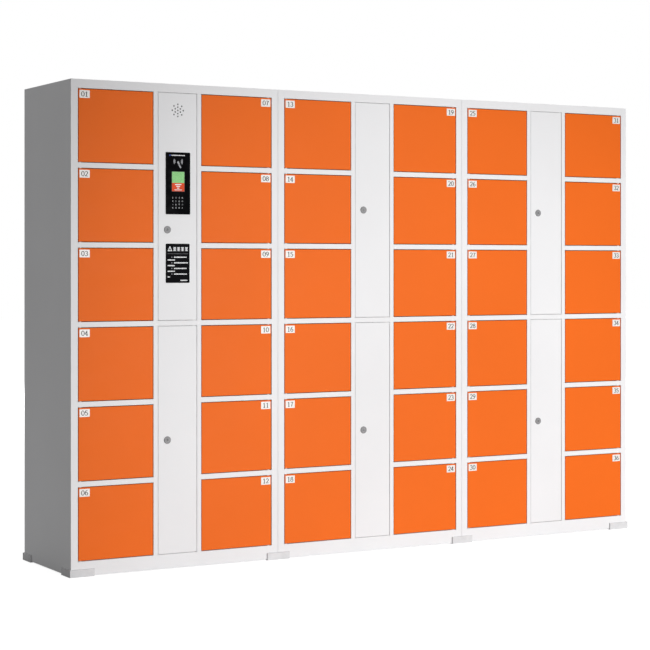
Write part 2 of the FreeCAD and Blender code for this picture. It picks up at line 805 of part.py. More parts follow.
speaker_body = turned(
    "speaker_body",
    [
        ("sheet_gauge", "0"),
        ("sheet_gauge", "speaker_radius"),
        ("3 * sheet_gauge", "speaker_radius"),
        ("speaker_depth * 0.6", "magnet_radius"),
        ("speaker_depth", "magnet_radius"),
        ("speaker_depth", "0"),
    ],
)

# ---------------------------------------------------------------- doors and what they carry


def at_door(cabinet, column_left, row):
    """The place of a door's lower left front corner."""
    return f"{cabinet_left(cabinet)} + {column_left}", FRONT, row_level(row)


lock_pieces = []
for cabinet in CABINETS:
    for column, (leaf, door_left, strike_x, lock_x) in enumerate(
        (
            (left_leaf, "side_margin", "door_width - strike_inset", f"({PARTITION} - lock_width)"),
            (
                right_leaf,
                f"(cabinet_width - {DOOR_RIGHT})",
                "strike_inset",
                f"(cabinet_width - {PARTITION})",
            ),
        )
    ):
        for row in ROWS:
            number = (2 * cabinet + column) * len(ROWS) + len(ROWS) - row
            x, y, z = at_door(cabinet, door_left, row)
            door_strike = copy(
                strike,
                f"strike_{number:02d}",
                f"{x} + {strike_x}",
                f"{y} + leaf_depth",
                f"{z} + door_height / 2",
            )
            door_leaf = copy(leaf, f"leaf_{number:02d}", x, y, z)
            node(f"compartment_door_{number:02d}", [door_leaf, door_strike])
            lock_pieces.append(
                copy(
                    electric_lock,
                    f"electric_lock_{number:02d}",
                    f"{cabinet_left(cabinet)} + {lock_x}",
                    f"{FRONT} + leaf_depth + lock_setback",
                    f"{row_level(row)} + door_height / 2 - lock_height / 2",
                )
            )
    for level, row in ACCESS_ROWS.items():
        tag = f"{cabinet + 1}_{level}"
        has_terminal = cabinet == 0 and level == "upper"
        leaf = terminal_leaf if has_terminal else plain_access_leaf
        x, y, z = at_door(cabinet, ACCESS_LEFT, row)
        lock_place = (f"{x} + key_lock_inset", y, f"{z} + {lock_level(cabinet, level)}")
        leaf_copy = copy(leaf, f"access_leaf_{tag}", x, y, z)
        node(f"access_door_{tag}", [leaf_copy, copy(lock_barrel, f"barrel_{tag}", *lock_place)])
        turning = [
            copy(piece, f"{piece.Name}_{tag}", *lock_place) for piece in (lock_plug, lock_cam, cam_nut)
        ]
        node(f"cam_lock_{tag}", turning)
        if has_terminal:
            node("terminal_panel", [copy(terminal_glass, "placed_glass", x, y, z)])
            node("terminal_housing", [copy(terminal_case, "placed_case", x, y, z)])
            speaker_place = (f"{x} + terminal_centre", y, f"{z} + {SPEAKER_LEVEL}")
            node("speaker", [copy(speaker_body, "placed_speaker", *speaker_place)])
node("electric_locks", lock_pieces)

# ---------------------------------------------------------------- control box

BOX_LEFT = f"({cabinet_left(0)} + cabinet_width / 2 - box_width / 2)"
BOX_FRONT = f"({BACK} - sheet_gauge - box_depth)"
BOX_LEVEL = f"({FLOOR} + box_level)"
box_block = slab("box_block", BOX_LEFT, BOX_FRONT, BOX_LEVEL, "box_width", "box_depth", "box_height")
box_inside = slab(
    "box_inside",
    f"{BOX_LEFT} + box_wall",
    f"{BOX_FRONT} - box_wall",
    f"{BOX_LEVEL} + box_wall",
    "box_width - 2 * box_wall",
    "box_depth",
    "box_height - 2 * box_wall",
)
box_lid = slab(
    "box_lid",
    f"{BOX_LEFT} - lid_gauge",
    f"{BOX_FRONT} - lid_gauge - weld_gap",
    f"{BOX_LEVEL} - lid_gauge",
    "box_width + 2 * lid_gauge",
    "lid_gauge",
    "box_height + 2 * lid_gauge",
)
gland_x, gland_y, gland_z = gland_place
gland = fuse(
    "gland",
    [
        rod("gland_outer", "gland_flange_radius", "gland_flange_gauge", *gland_place, 90, (1, 0, 0)),
        rod(
            "gland_neck",
            "gland_radius - gland_clearance",
            "2 * gland_flange_gauge + sheet_gauge",
            *gland_place,
            90,
            (1, 0, 0),
        ),
        rod(
            "gland_inner",
            "gland_flange_radius",
            "gland_flange_gauge",
            gland_x,
            f"{BACK} - sheet_gauge",
            gland_z,
            90,
            (1, 0, 0),
        ),
    ],
)
node("control_box", [cut("box_shell", box_block, box_inside), box_lid, gland])

# ---------------------------------------------------------------- checks and files

doc.recompute()
for item in doc.Objects:
    if "Invalid" in item.State or "Error" in item.State:
        raise RuntimeError(f"{item.Label} failed: {item.State}")
os.makedirs("parts", exist_ok=True)
for item in NODES:
    shape = item.Shape
    if shape.isNull() or not shape.isValid() or not shape.Solids:
        raise RuntimeError(f"{item.Label} has no valid solid")
    shape.exportStep(f"parts/{item.Label}.step")
    print(f"{item.Label}: {len(shape.Solids)} solids, {shape.Volume / 1000:.1f} cm3")
print(len(NODES), "files")
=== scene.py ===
import json
import math
import random

import bmesh
import bpy
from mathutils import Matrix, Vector


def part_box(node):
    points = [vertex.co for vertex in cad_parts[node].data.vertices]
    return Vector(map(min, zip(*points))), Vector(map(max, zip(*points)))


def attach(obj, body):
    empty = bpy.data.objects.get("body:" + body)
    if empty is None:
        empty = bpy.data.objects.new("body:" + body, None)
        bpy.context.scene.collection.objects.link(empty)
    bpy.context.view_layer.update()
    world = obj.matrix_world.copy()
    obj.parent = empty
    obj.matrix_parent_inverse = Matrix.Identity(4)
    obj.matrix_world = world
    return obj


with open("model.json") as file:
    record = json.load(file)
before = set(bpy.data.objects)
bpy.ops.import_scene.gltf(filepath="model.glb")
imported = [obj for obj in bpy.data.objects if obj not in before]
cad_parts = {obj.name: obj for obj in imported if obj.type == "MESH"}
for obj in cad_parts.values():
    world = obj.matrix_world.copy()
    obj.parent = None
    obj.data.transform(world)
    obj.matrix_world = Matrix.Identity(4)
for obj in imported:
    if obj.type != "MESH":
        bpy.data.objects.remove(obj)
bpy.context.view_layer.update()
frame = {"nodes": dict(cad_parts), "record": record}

# A bank of three electronic lockers: +X to the right, -Y out of the doors, +Z up, in metres.
MM = 0.001
FRONT, BACK = (0, -1, 0), (0, 1, 0)
UP, DOWN = (0, 0, 1), (0, 0, -1)
CORNERS = ((-1, -1), (1, -1), (1, 1), (-1, 1))
SHEET = 1 * MM
HAIR, FINE, EASED = 0.05 * MM, 0.1 * MM, 0.5 * MM
TERMINAL_DOOR = "access_door_1_upper"
SHARP = math.radians(32)
CABINETS = (1, 2, 3)
ROWS = 6
CABINET_DOORS = 2 * ROWS
DOOR_NUMBERS = range(1, len(CABINETS) * CABINET_DOORS + 1)
ACCESS_DOORS = [f"{cabinet}_{level}" for cabinet in CABINETS for level in ("upper", "lower")]
chance = random.Random(36)


def mm(*lengths):
    """Lengths given in millimetres, as a tuple in metres."""
    return tuple(length * MM for length in lengths)


def in_mm(*points):
    """The points of an outline or a profile, given in millimetres, in metres."""
    return [mm(*point) for point in points]


def door_node(number):
    return f"compartment_door_{number:02d}"


def hangs_left(number):
    """Whether a compartment door hangs on its left edge, as the left column of each cabinet does."""
    return (number - 1) % CABINET_DOORS < ROWS


# ---- materials


class Recipe:
    """A node material in the making, with every pattern laid in the object's own coordinates."""

    def __init__(self, name, colour, roughness, metallic=0.0, specular=0.5):
        self.material = bpy.data.materials.new(name)
        self.material.use_nodes = True
        self.nodes = self.material.node_tree.nodes
        self.links = self.material.node_tree.links
        self.surface = self.nodes["Principled BSDF"]
        self.place = self.nodes.new("ShaderNodeTexCoord").outputs["Object"]
        self.normal = None
        self.give("Base Color", (*colour, 1))
        self.give("Roughness", roughness)
        self.give("Metallic", metallic)
        self.give("Specular IOR Level", specular)

    def give(self, socket, value):
        self.surface.inputs[socket].default_value = value

    def feed(self, socket, output):
        self.links.new(output, self.surface.inputs[socket])

    def node(self, kind, **values):
        node = self.nodes.new("ShaderNode" + kind)
        for name, value in values.items():
            node.inputs[name].default_value = value
        return node

    def placed(self, kind, **values):
        """A node that reads the object's own coordinates."""
        node = self.node(kind, **values)
        self.links.new(self.place, node.inputs["Vector"])
        return node

    def noise(self, size, detail=2.0, stretch=(1, 1, 1)):
        """Cloudy noise whose blotches are about size metres across, or longer one way."""
        noise = self.node("TexNoise", Scale=1 / size, Detail=detail)
        self.links.new(self.placed("Mapping", Scale=stretch).outputs["Vector"], noise.inputs["Vector"])
        return noise.outputs["Fac"]

    def cells(self, size):
        """The distance from the nearest of scattered points, size metres apart."""
        return self.placed("TexVoronoi", Scale=1 / size).outputs["Distance"]

    def axis(self, letter):
        """One coordinate, in metres."""
        return self.placed("SeparateXYZ").outputs[letter]

    def math(self, operation, first, second=0.5):
        node = self.node("Math")
        node.operation = operation
        for number, value in enumerate((first, second)):
            if isinstance(value, (int, float)):
                node.inputs[number].default_value = value
            else:
                self.links.new(value, node.inputs[number])
        return node.outputs["Value"]

    def ranged(self, pattern, low, high, start=0.3, end=0.7):
        """The pattern's values from start to end, spread from low to high."""
        limits = {"From Min": start, "From Max": end, "To Min": low, "To Max": high}
        spread = self.node("MapRange", **limits)
        self.links.new(pattern, spread.inputs["Value"])
        return spread.outputs["Result"]

    def tinted(self, factor, colour, other):
        """A mix of two colours, the first where the factor is 0; each may be another mix."""
        mix = self.node("Mix")
        mix.data_type = "RGBA"
        self.links.new(factor, mix.inputs["Factor"])
        for socket, value in (("A", colour), ("B", other)):
            port = next(item for item in mix.inputs if item.name == socket and item.type == "RGBA")
            if isinstance(value, tuple):
                port.default_value = (*value, 1)
            else:
                self.links.new(value, port)
        return next(item for item in mix.outputs if item.type == "RGBA")

    def relief(self, pattern, depth, strength=1.0):
        """Raises the surface by up to depth metres where the pattern is high."""
        bump = self.node("Bump", Distance=depth, Strength=strength)
        self.links.new(pattern, bump.inputs["Height"])
        if self.normal:
            self.links.new(self.normal, bump.inputs["Normal"])
        self.normal = bump.outputs["Normal"]
        self.feed("Normal", self.normal)


def scaled(colour, factor):
    return tuple(min(1.0, channel * factor) for channel in colour)


def powder_coat(name, colour, roughness=0.5):
    """Satin powder coat: orange peel, fine flecks of pigment, faint clouds and handling marks."""
    recipe = Recipe(name, colour, roughness, specular=0.1)
    clouds = recipe.ranged(recipe.noise(0.5, 3), 0, 1)
    flecks = recipe.ranged(recipe.noise(0.6 * MM, 1), 0, 1)
    drift = recipe.tinted(clouds, scaled(colour, 0.975), scaled(colour, 1.02))
    speckled = recipe.tinted(recipe.math("MULTIPLY", flecks, 0.12), drift, scaled(colour, 0.8))
    recipe.feed("Base Color", speckled)
    marks = recipe.noise(90 * MM, 6, (1, 1, 2.5))
    recipe.feed("Roughness", recipe.ranged(marks, roughness - 0.012, roughness + 0.02))
    recipe.relief(recipe.noise(2.2 * MM, 1.5), 0.05 * MM, 0.5)
    recipe.relief(recipe.noise(0.5 * MM, 1), 0.012 * MM, 0.5)
    return recipe.material


def zinc_plate(name, colour, roughness):
    """Bright zinc plating: crystalline patches and a fine rolling grain."""
    recipe = Recipe(name, colour, roughness, metallic=1.0)
    patches = recipe.ranged(recipe.cells(7 * MM), 0, 1, 0.1, 0.8)
    recipe.feed("Base Color", recipe.tinted(patches, scaled(colour, 1.12), scaled(colour, 0.86)))
    grain = recipe.noise(0.4 * MM, 3, (1, 1, 0.06))
    recipe.feed("Roughness", recipe.ranged(grain, roughness - 0.08, roughness + 0.12))
    recipe.relief(grain, 0.01 * MM, 0.5)
    return recipe.material


def satin_chrome(name, colour):
    """Satin chrome with faint buffing lines and a few dull smears."""
    recipe = Recipe(name, colour, 0.73, metallic=1.0)
    smears = recipe.noise(6 * MM, 4)
    recipe.feed("Roughness", recipe.ranged(smears, 0.7, 0.78))
    buffing = recipe.noise(0.25 * MM, 2, (1, 1, 0.12))
    recipe.relief(buffing, 0.004 * MM, 0.4)
    return recipe.material


def moulded(name, colour, roughness, grain=0.45 * MM, depth=0.03 * MM):
    """Moulded plastic or rubber with a spark-eroded grain and a slight flow in its shade."""
    recipe = Recipe(name, colour, roughness)
    flow = recipe.ranged(recipe.noise(30 * MM, 3), 0, 1)
    recipe.feed("Base Color", recipe.tinted(flow, scaled(colour, 0.93), scaled(colour, 1.06)))
    recipe.relief(recipe.cells(grain), depth, 0.6)
    scuffs = recipe.noise(11 * MM, 5)
    recipe.feed("Roughness", recipe.ranged(scuffs, roughness - 0.06, roughness + 0.08))
    return recipe.material


def dark_glass(name):
    """Black backed glass, glossy under a film of fingerprints."""
    recipe = Recipe(name, (0.0015, 0.0015, 0.002), 0.08, specular=0.05)
    film = recipe.ranged(recipe.noise(24 * MM, 5), 0, 1, 0.45, 0.75)
    recipe.feed("Roughness", recipe.ranged(film, 0.07, 0.12, 0, 1))
    tint = recipe.tinted(film, (0.0015, 0.0015, 0.002), (0.003, 0.003, 0.004))
    recipe.feed("Base Color", tint)
    recipe.relief(recipe.noise(60 * MM, 1), 0.02 * MM, 0.3)
    return recipe.material


def printed(name, colour, roughness=0.45, glow=0.0, specular=0.5):
    """Screen-printed ink or film, with a fine grain and uneven cover."""
    recipe = Recipe(name, colour, roughness, specular=specular)
    cover = recipe.ranged(recipe.noise(1.4 * MM, 3), 0, 1)
    shade = recipe.tinted(cover, scaled(colour, 0.9), scaled(colour, 1.05))
    recipe.feed("Base Color", shade)
    # Emission: for the lamp lenses it is their real glow; for the inks it is painted light that makes the
    # print shine with no lamp behind it.
    if glow:
        recipe.feed("Emission Color", shade)
        recipe.give("Emission Strength", glow)
    recipe.relief(recipe.noise(0.3 * MM, 1), 0.006 * MM, 0.5)
    return recipe.material


def display(name, colour, glow):
    """A lit display's field: square picture elements with dark lines between them."""
    recipe = Recipe(name, (0.004, 0.004, 0.004), 0.12, specular=0.1)
    pitch = 0.6 * MM
    lines = None
    for letter in ("X", "Z"):
        phase = recipe.math("FRACT", recipe.math("DIVIDE", recipe.axis(letter), pitch))
        inside = recipe.math("GREATER_THAN", phase, 0.14)
        lines = inside if lines is None else recipe.math("MULTIPLY", lines, inside)
    uneven = recipe.ranged(recipe.noise(25 * MM, 2), 0, 1)
    lit = recipe.tinted(uneven, scaled(colour, 0.9), scaled(colour, 1.06))
    recipe.feed("Emission Color", recipe.tinted(lines, scaled(colour, 0.55), lit))
    recipe.give("Emission Strength", glow)
    return recipe.material


WHITE = (0.80, 0.80, 0.81)
ORANGE = (0.83, 0.143, 0.009)
white_paint = powder_coat("white_powder_coat", WHITE)
inner_paint = powder_coat("inner_powder_coat", (0.76, 0.76, 0.77))
orange_paint = powder_coat("orange_powder_coat", ORANGE)
box_paint = powder_coat("grey_powder_coat", (0.50, 0.51, 0.53))
zinc = zinc_plate("zinc_plate", (0.60, 0.61, 0.62), 0.34)
lock_chrome = satin_chrome("lock_chrome", (0.34, 0.34, 0.345))
foot_plastic = moulded("foot_plastic", (0.66, 0.66, 0.67), 0.62, 0.9 * MM, 0.05 * MM)
black_plastic = moulded("black_plastic", (0.03, 0.03, 0.033), 0.5)
rubber = moulded("black_rubber", (0.02, 0.02, 0.02), 0.72)
white_rubber = moulded("white_rubber", (0.74, 0.74, 0.74), 0.6)
pale_nylon = moulded("pale_nylon", (0.75, 0.74, 0.70), 0.5)
grey_pvc = moulded("grey_pvc", (0.42, 0.43, 0.45), 0.45)
glass = dark_glass("terminal_glass")
plate_white = printed("plate_white", (0.80, 0.79, 0.76), 0.4)
dark_ink = printed("dark_ink", (0.035, 0.04, 0.045), 0.5)
# The four inks below glow a little. This is painted light: it brightens the print on the notice plate, the
# labels, the keys and the terminal's glass print under any lamp. Only on the display's text bars does the
# white ink's glow stand for the screen's own light.
white_ink_with_painted_glow = printed("white_ink_with_painted_glow", (0.75, 0.76, 0.78), 0.5, 0.12)
grey_ink_painted_glow = printed("grey_ink_painted_glow", (0.28, 0.29, 0.31), 0.5, 0.05)
pale_ink_painted_glow = printed("pale_ink_painted_glow", (0.5, 0.51, 0.53), 0.5, 0.05)
blue_ink_painted_glow = printed("blue_ink_painted_glow", (0.06, 0.12, 0.55), 0.5, 0.1)
notice_black = printed("notice_black", (0.003, 0.003, 0.004), 0.6, specular=0.03)
label_silver = printed("label_silver", (0.62, 0.63, 0.64), 0.35)
green_field = display("green_field", (0.30, 0.67, 0.26), 0.95)
orange_field = display("orange_field", (0.76, 0.075, 0.018), 0.95)
lamp_green = printed("lamp_green", (0.05, 0.75, 0.12), 0.3, 1.5)
lamp_red = printed("lamp_red", (0.8, 0.03, 0.02), 0.3, 1.0)
INSULATION = {
    "wire_red": (0.50, 0.02, 0.015),
    "wire_black": (0.02, 0.02, 0.022),
    "wire_yellow": (0.70, 0.42, 0.02),
    "wire_blue": (0.02, 0.07, 0.42),
}
WIRES = [moulded(name, colour, 0.42) for name, colour in INSULATION.items()]


# ---- solids in mesh code


def facing(direction, *origin):
    """A map from (across, up, out) to the row frame, for a face that looks in that direction."""
    out = Vector(direction)
    upward = Vector((0, 0, 1)) if abs(out.z) < 0.5 else Vector((0, 1, 0))
    across = upward.cross(out)
    start = Vector(origin)
    return lambda a, b, c=0.0: start + across * a + upward * b + out * c


def circle(radius, count=24):
    turns = [2 * math.pi * number / count for number in range(count)]
    return [(radius * math.cos(turn), radius * math.sin(turn)) for turn in turns]


def many_sided(radius, sides, count=24):
    """A regular outline with so many sides, carried by count points."""
    half = math.pi / sides
    points = []
    for number in range(count):
        turn = 2 * math.pi * number / count
        reach = radius * math.cos(half) / math.cos((turn % (2 * half)) - half)
        points.append((reach * math.cos(turn), reach * math.sin(turn)))
    return points


def rounded(width, height, corner, steps=5):
    """A rectangle's outline with round corners, about its middle."""
    points = []
    corner = min(corner, width / 2, height / 2)
    for quarter, (side, top) in enumerate(((1, 1), (-1, 1), (-1, -1), (1, -1))):
        centre = (side * (width / 2 - corner), top * (height / 2 - corner))
        for step in range(steps + 1):
            turn = math.pi / 2 * (quarter + step / steps)
            points.append((centre[0] + corner * math.cos(turn), centre[1] + corner * math.sin(turn)))
    return points


def enlarged(points, size):
    return [(a * size, b * size) for a, b in points]


def put_in(name, data):
    """A new object in the scene."""
    thing = bpy.data.objects.new(name, data)
    bpy.context.scene.collection.objects.link(thing)
    return thing


class Piece:
    """A mesh of closed solids, each in one of the piece's materials."""

    def __init__(self, name, *materials):
        self.name = name
        self.materials = materials
        self.shape = bmesh.new()

    def loft(self, loops, material=0, closed=False):
        """A skin over loops of equally many points, capped at both ends or closed into a ring."""
        rings = [[self.shape.verts.new(point) for point in loop] for loop in loops]
        pairs = list(zip(rings, rings[1:]))
        if closed:
            pairs.append((rings[-1], rings[0]))
        count = len(rings[0])
        faces = []
        for near, far in pairs:
            for number in range(count):
                after = (number + 1) % count
                faces.append(self.shape.faces.new((near[number], near[after], far[after], far[number])))
        if not closed:
            faces.append(self.shape.faces.new(rings[0][::-1]))
            faces.append(self.shape.faces.new(rings[-1]))
        for face in faces:
            face.material_index = material

    def stack(self, face, layers, material=0, at=(0, 0), closed=False):
        """A solid from outlines at heights above a face: layers of (outline, height)."""
        loops = [[face(at[0] + a, at[1] + b, height) for a, b in outline] for outline, height in layers]
        self.loft(loops, material, closed)

    def plate(self, face, size, corner, top, base=0.0, edge=0.3 * MM, material=0, at=(0, 0)):
        """A flat plate with round corners and a rim bevelled by edge: often HAIR, FINE or EASED."""
        width, height = size
        full = rounded(width, height, corner)
        inner = rounded(width - 2 * edge, height - 2 * edge, max(corner - edge, edge))
        self.stack(face, [(full, base), (full, top - edge), (inner, top)], material, at)

    def turning(self, face, profile, material=0, at=(0, 0), closed=False, count=24):
        """A turned solid from corners of (radius, height)."""
        layers = [(circle(radius, count), height) for radius, height in profile]
        self.stack(face, layers, material, at, closed)

    def rim(self, face, outer, inner, base, top, material, at):
        """A ring between two outlines."""
        layers = [(outer, base), (outer, top), (inner, top), (inner, base)]
        self.stack(face, layers, material, at, True)

    def screw(self, face, radius, base=0.0, material=0, at=(0, 0)):
        """A button head with a hexagon socket, standing on a plate that is base thick."""
        height = radius * 0.55
        outlines = [(circle(radius), 0), (circle(radius), 0.35), (circle(radius * 0.82), 0.85)]
        outlines += [(circle(radius * 0.62), 1), (many_sided(radius * 0.52, 6), 1)]
        outlines += [(many_sided(radius * 0.5, 6), 0.3)]
        self.stack(face, [(outline, base + share * height) for outline, share in outlines], material, at)

    def four_screws(self, face, radius, reach, base=0.0, material=0):
        """A screw at each corner of a rectangle that reaches so far each way from its middle."""
        for side, top in CORNERS:
            self.screw(face, radius, base, material, (side * reach[0], top * reach[1]))

    def block(self, low, high):
        """A plain block between two corners."""
        plan = [(low[0], low[1]), (high[0], low[1]), (high[0], high[1]), (low[0], high[1])]
        self.loft([[(x, y, level) for x, y in plan] for level in (low[2], high[2])])

    def stroke(self, face, points, width, top, material=0, base=0.0, at=(0, 0)):
        """A flat line through points, with its width given or worked out from its direction."""
        loops = []
        last = len(points) - 1
        for number, (a, b) in enumerate(points):
            before = points[max(number - 1, 0)]
            after = points[min(number + 1, last)]
            length = math.hypot(after[0] - before[0], after[1] - before[1])
            along = ((after[0] - before[0]) / length, (after[1] - before[1]) / length)
            half = (width(along) if callable(width) else width) / 2
            side = (-along[1] * half, along[0] * half)
            near = (at[0] + a + side[0], at[1] + b + side[1])
            far = (at[0] + a - side[0], at[1] + b - side[1])
            loops.append([face(*near, base), face(*far, base), face(*far, top), face(*near, top)])
        self.loft(loops, material)

    def bars(self, face, widths, start, pitch, breadth, top, material, base=0.0):
        """Level bars below one another: their widths, the first one's left end and their pitch in mm."""
        for number, width in enumerate(widths):
            level = start[1] - pitch * number
            ends = in_mm((start[0], level), (start[0] + width, level))
            self.stroke(face, ends, breadth, top, material, base)

    def make(self, body, slot=None):
        """Turns the solids into an object that rides on a body."""
        bmesh.ops.recalc_face_normals(self.shape, faces=self.shape.faces)
        mesh = bpy.data.meshes.new(self.name)
        self.shape.to_mesh(mesh)
        self.shape.free()
        for material in self.materials:
            mesh.materials.append(material)
        mesh.shade_smooth()
        mesh.set_sharp_from_angle(angle=SHARP)
        piece = put_in(self.name, mesh)
        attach(piece, body)
        return piece


def wires(name, body, routes, thickness):
    """Insulated wires, each a smooth line through its route, as one piece."""
    curve = bpy.data.curves.new(name, "CURVE")
    curve.dimensions = "3D"
    curve.bevel_depth = thickness / 2
    curve.bevel_resolution = 2
    curve.resolution_u = 6
    curve.use_fill_caps = True
    for material in WIRES:
        curve.materials.append(material)
    for number, route in enumerate(routes):
        spline = curve.splines.new("NURBS")
        spline.points.add(len(route) - 1)
        for point, place in zip(spline.points, route):
            point.co = (*place, 1)
        spline.order_u = 3
        spline.use_endpoint_u = True
        spline.material_index = number % len(WIRES)
    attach(put_in(name, curve), body)


# ---- numerals


def arc(centre, radii, start, end, count=14):
    """Points on part of an ellipse, with its angles in degrees."""
    turns = [math.radians(start + (end - start) * number / count) for number in range(count + 1)]
    return [(centre[0] + radii[0] * math.cos(turn), centre[1] + radii[1] * math.sin(turn)) for turn in turns]


# Each numeral's strokes in a box from -0.3 to 0.3 across and from 0 to 1 up, and its serifs,
# which are level bars of (middle, height, width).
NUMERALS = {
    "0": ([arc((0, 0.5), (0.25, 0.47), 90, 450, 28)], []),
    "1": ([[(0.03, 0.02), (0.03, 0.98)], [(-0.17, 0.82), (0.03, 0.95)]], [(0.03, 0.03, 0.36)]),
    "2": (
        [arc((-0.01, 0.71), (0.23, 0.26), 165, -35) + [(-0.05, 0.24), (-0.25, 0.06)],
         [(-0.27, 0.05), (0.26, 0.05)]],
        [(0.0, 0.06, 0.54)],
    ),
    "3": ([arc((-0.02, 0.74), (0.20, 0.23), 155, -85), arc((-0.03, 0.27), (0.25, 0.25), 85, -155)], []),
    "4": (
        [[(0.09, 0.02), (0.09, 0.97)], [(0.09, 0.95), (-0.27, 0.30)], [(-0.28, 0.29), (0.28, 0.29)]],
        [(0.09, 0.03, 0.28)],
    ),
    "5": (
        [[(-0.15, 0.94), (-0.19, 0.53)], [(-0.16, 0.93), (0.23, 0.93)],
         arc((-0.03, 0.31), (0.25, 0.28), 130, -155)],
        [(0.04, 0.93, 0.38)],
    ),
    "6": ([arc((0.01, 0.29), (0.23, 0.27), 90, 450, 24), arc((0.20, 0.31), (0.42, 0.64), 180, 88)], []),
    "7": ([[(-0.24, 0.93), (0.25, 0.93)], [(0.25, 0.93), (0.05, 0.55), (-0.06, 0.02)]], [(0, 0.93, 0.50)]),
    "8": ([arc((0, 0.74), (0.19, 0.21), 90, 450, 24), arc((0, 0.27), (0.24, 0.25), 90, 450, 24)], []),
    "9": ([arc((-0.01, 0.70), (0.23, 0.27), 90, 450, 24), arc((-0.20, 0.68), (0.42, 0.64), 0, -92)], []),
}


def numeral(piece, face, figure, height, at, top, material, base=0.0):
    """A numeral drawn as with a broad pen: thick where it runs upright, thin where it is level."""
    strokes, serifs = NUMERALS[figure]
    thick, thin = 0.18 * height, 0.1 * height
    breadth = 1.15 * height
    base_line = (at[0], at[1] - height / 2)

    def pen(along):
        return math.hypot(thick * along[1], thin * along[0])

    for points in strokes:
        scaled_points = [(a * breadth, b * height) for a, b in points]
        piece.stroke(face, scaled_points, pen, top, material, base, base_line)
    for middle, level, width in serifs:
        ends = [((middle + side * width / 2) * breadth, level * height) for side in (-1, 1)]
        piece.stroke(face, ends, thin, top, material, base, base_line)


# ---- finishes of the CAD parts

FINISHES = {
    "white_steel": white_paint,
    "inner_steel": inner_paint,
    "orange_steel": orange_paint,
    "box_steel": box_paint,
    "foot_plastic": foot_plastic,
    "lock_steel": zinc,
    "lock_chrome": lock_chrome,
    "terminal_glass": glass,
    "terminal_plastic": black_plastic,
    "speaker_plastic": black_plastic,
}


def finish_nodes():
    """Gives each CAD node the finish of its material slot."""
    for part in frame["record"]["subparts"]:
        node = frame["nodes"][part["node"]]
        node.data.materials.clear()
        node.data.materials.append(FINISHES[part["material_slot"]])


# ---- doors

PLATE = mm(40, 28.5)
PLATE_INSET = mm(3.7, 5)
PLATE_GAUGE = 0.8 * MM
PLATE_FIGURE = 18 * MM
PRINT = 0.12 * MM
LEAF_LIP = 10 * MM
LEAF_DEPTH = 18 * MM
PIN_REACH = 7 * MM
PIVOT_INSET = 9 * MM
CLEAR = 0.1 * MM
door_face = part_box(door_node(2))[0].y


def number_plate(number):
    """The plate in a compartment door's outer top corner."""
    low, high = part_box(door_node(number))
    side = 1 if hangs_left(number) else -1
    edge = low.x if hangs_left(number) else high.x
    x = edge + side * (PLATE_INSET[0] + PLATE[0] / 2)
    z = leaf_top(door_node(number)) - PLATE_INSET[1] - PLATE[1] / 2
    face = facing(FRONT, x, door_face, z)
    piece = Piece(f"number_plate_{number:02d}", plate_white, dark_ink)
    piece.plate(face, PLATE, 1.5 * MM, PLATE_GAUGE)
    for place, figure in zip((-1, 1), f"{number:02d}"):
        at = (place * PLATE_FIGURE * 0.38, 0)
        numeral(piece, face, figure, PLATE_FIGURE, at, PLATE_GAUGE + PRINT, 1, PLATE_GAUGE / 2)
    piece.make(door_node(number))


def leaf_top(node):
    """The level of a door leaf's upper edge, below the end of its pivot pin."""
    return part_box(node)[1].z - PIN_REACH


def leaf_bottom(node):
    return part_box(node)[0].z + PIN_REACH


STIFFENER_WIDTH = 60 * MM
NARROW_STIFFENER = 56 * MM
STIFFENER_DEPTH = 12 * MM
STIFFENER_FLANGE = 14 * MM
STIFFENER_SLOPE = 4 * MM
STIFFENER_GAUGE = 0.8 * MM
STIFFENER_CLEAR = 4 * MM
WELD_PITCH = 60 * MM
WELD_INSET = 5 * MM
WELD = in_mm((2.6, -0.1), (2.4, 0.15), (1.2, 0.25))
BUFFER = in_mm((3.6, 0), (3.6, 0.9), (3.0, 1.9), (1.6, 2.4))
BUFFER_INSET = 24 * MM


def stiffener(piece, x, bottom, top, width):
    """A folded hat section behind a door's skin: two flanges on the skin and a raised middle."""
    skin = door_face + SHEET
    wall, slope, depth = STIFFENER_GAUGE, STIFFENER_SLOPE, STIFFENER_DEPTH
    half, crown = width / 2, width / 2 - STIFFENER_FLANGE
    outer = [(-half, wall), (-crown - slope, wall), (-crown, depth), (crown, depth)]
    outer += [(crown + slope, wall), (half, wall)]
    inner = [(half, 0), (crown + slope - wall, 0), (crown - wall, depth - wall)]
    inner += [(-crown + wall, depth - wall), (-crown - slope + wall, 0), (-half, 0)]
    section = [(x + across, skin + CLEAR + back) for across, back in outer + inner]
    piece.loft([[(a, b, level) for a, b in section] for level in (bottom, top)])
    welds = facing(BACK, x, skin + wall + CLEAR, (bottom + top) / 2)
    count = max(3, round((top - bottom) / WELD_PITCH))
    for number in range(count):
        level = (number + 0.5) / count * (top - bottom) - (top - bottom) / 2
        for side in (-1, 1):
            piece.turning(welds, WELD, 0, (side * (half - WELD_INSET), level), count=16)


def buffers(name, node, x):
    """Rubber buttons pushed into the back of a door's lip, near its top and bottom."""
    pads = Piece(name, rubber)
    for level in (leaf_bottom(node) + BUFFER_INSET, leaf_top(node) - BUFFER_INSET):
        pads.turning(facing(BACK, x, door_face + LEAF_DEPTH, level), BUFFER, count=20)
    pads.make(node)


def door_back(number):
    """What stiffens and quietens a compartment door, behind its skin."""
    node = door_node(number)
    low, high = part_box(node)
    bottom, top = leaf_bottom(node) + STIFFENER_CLEAR, leaf_top(node) - STIFFENER_CLEAR
    piece = Piece(f"door_stiffener_{number:02d}", orange_paint)
    stiffener(piece, (low.x + high.x) / 2, bottom, top, STIFFENER_WIDTH)
    piece.make(node, "orange_steel")
    free = high.x if hangs_left(number) else low.x
    inward = -1 if hangs_left(number) else 1
    buffers(f"door_buffers_{number:02d}", node, free + inward * LEAF_LIP / 2)
    hinge_washers(node, free + inward * (high.x - low.x - PIVOT_INSET))


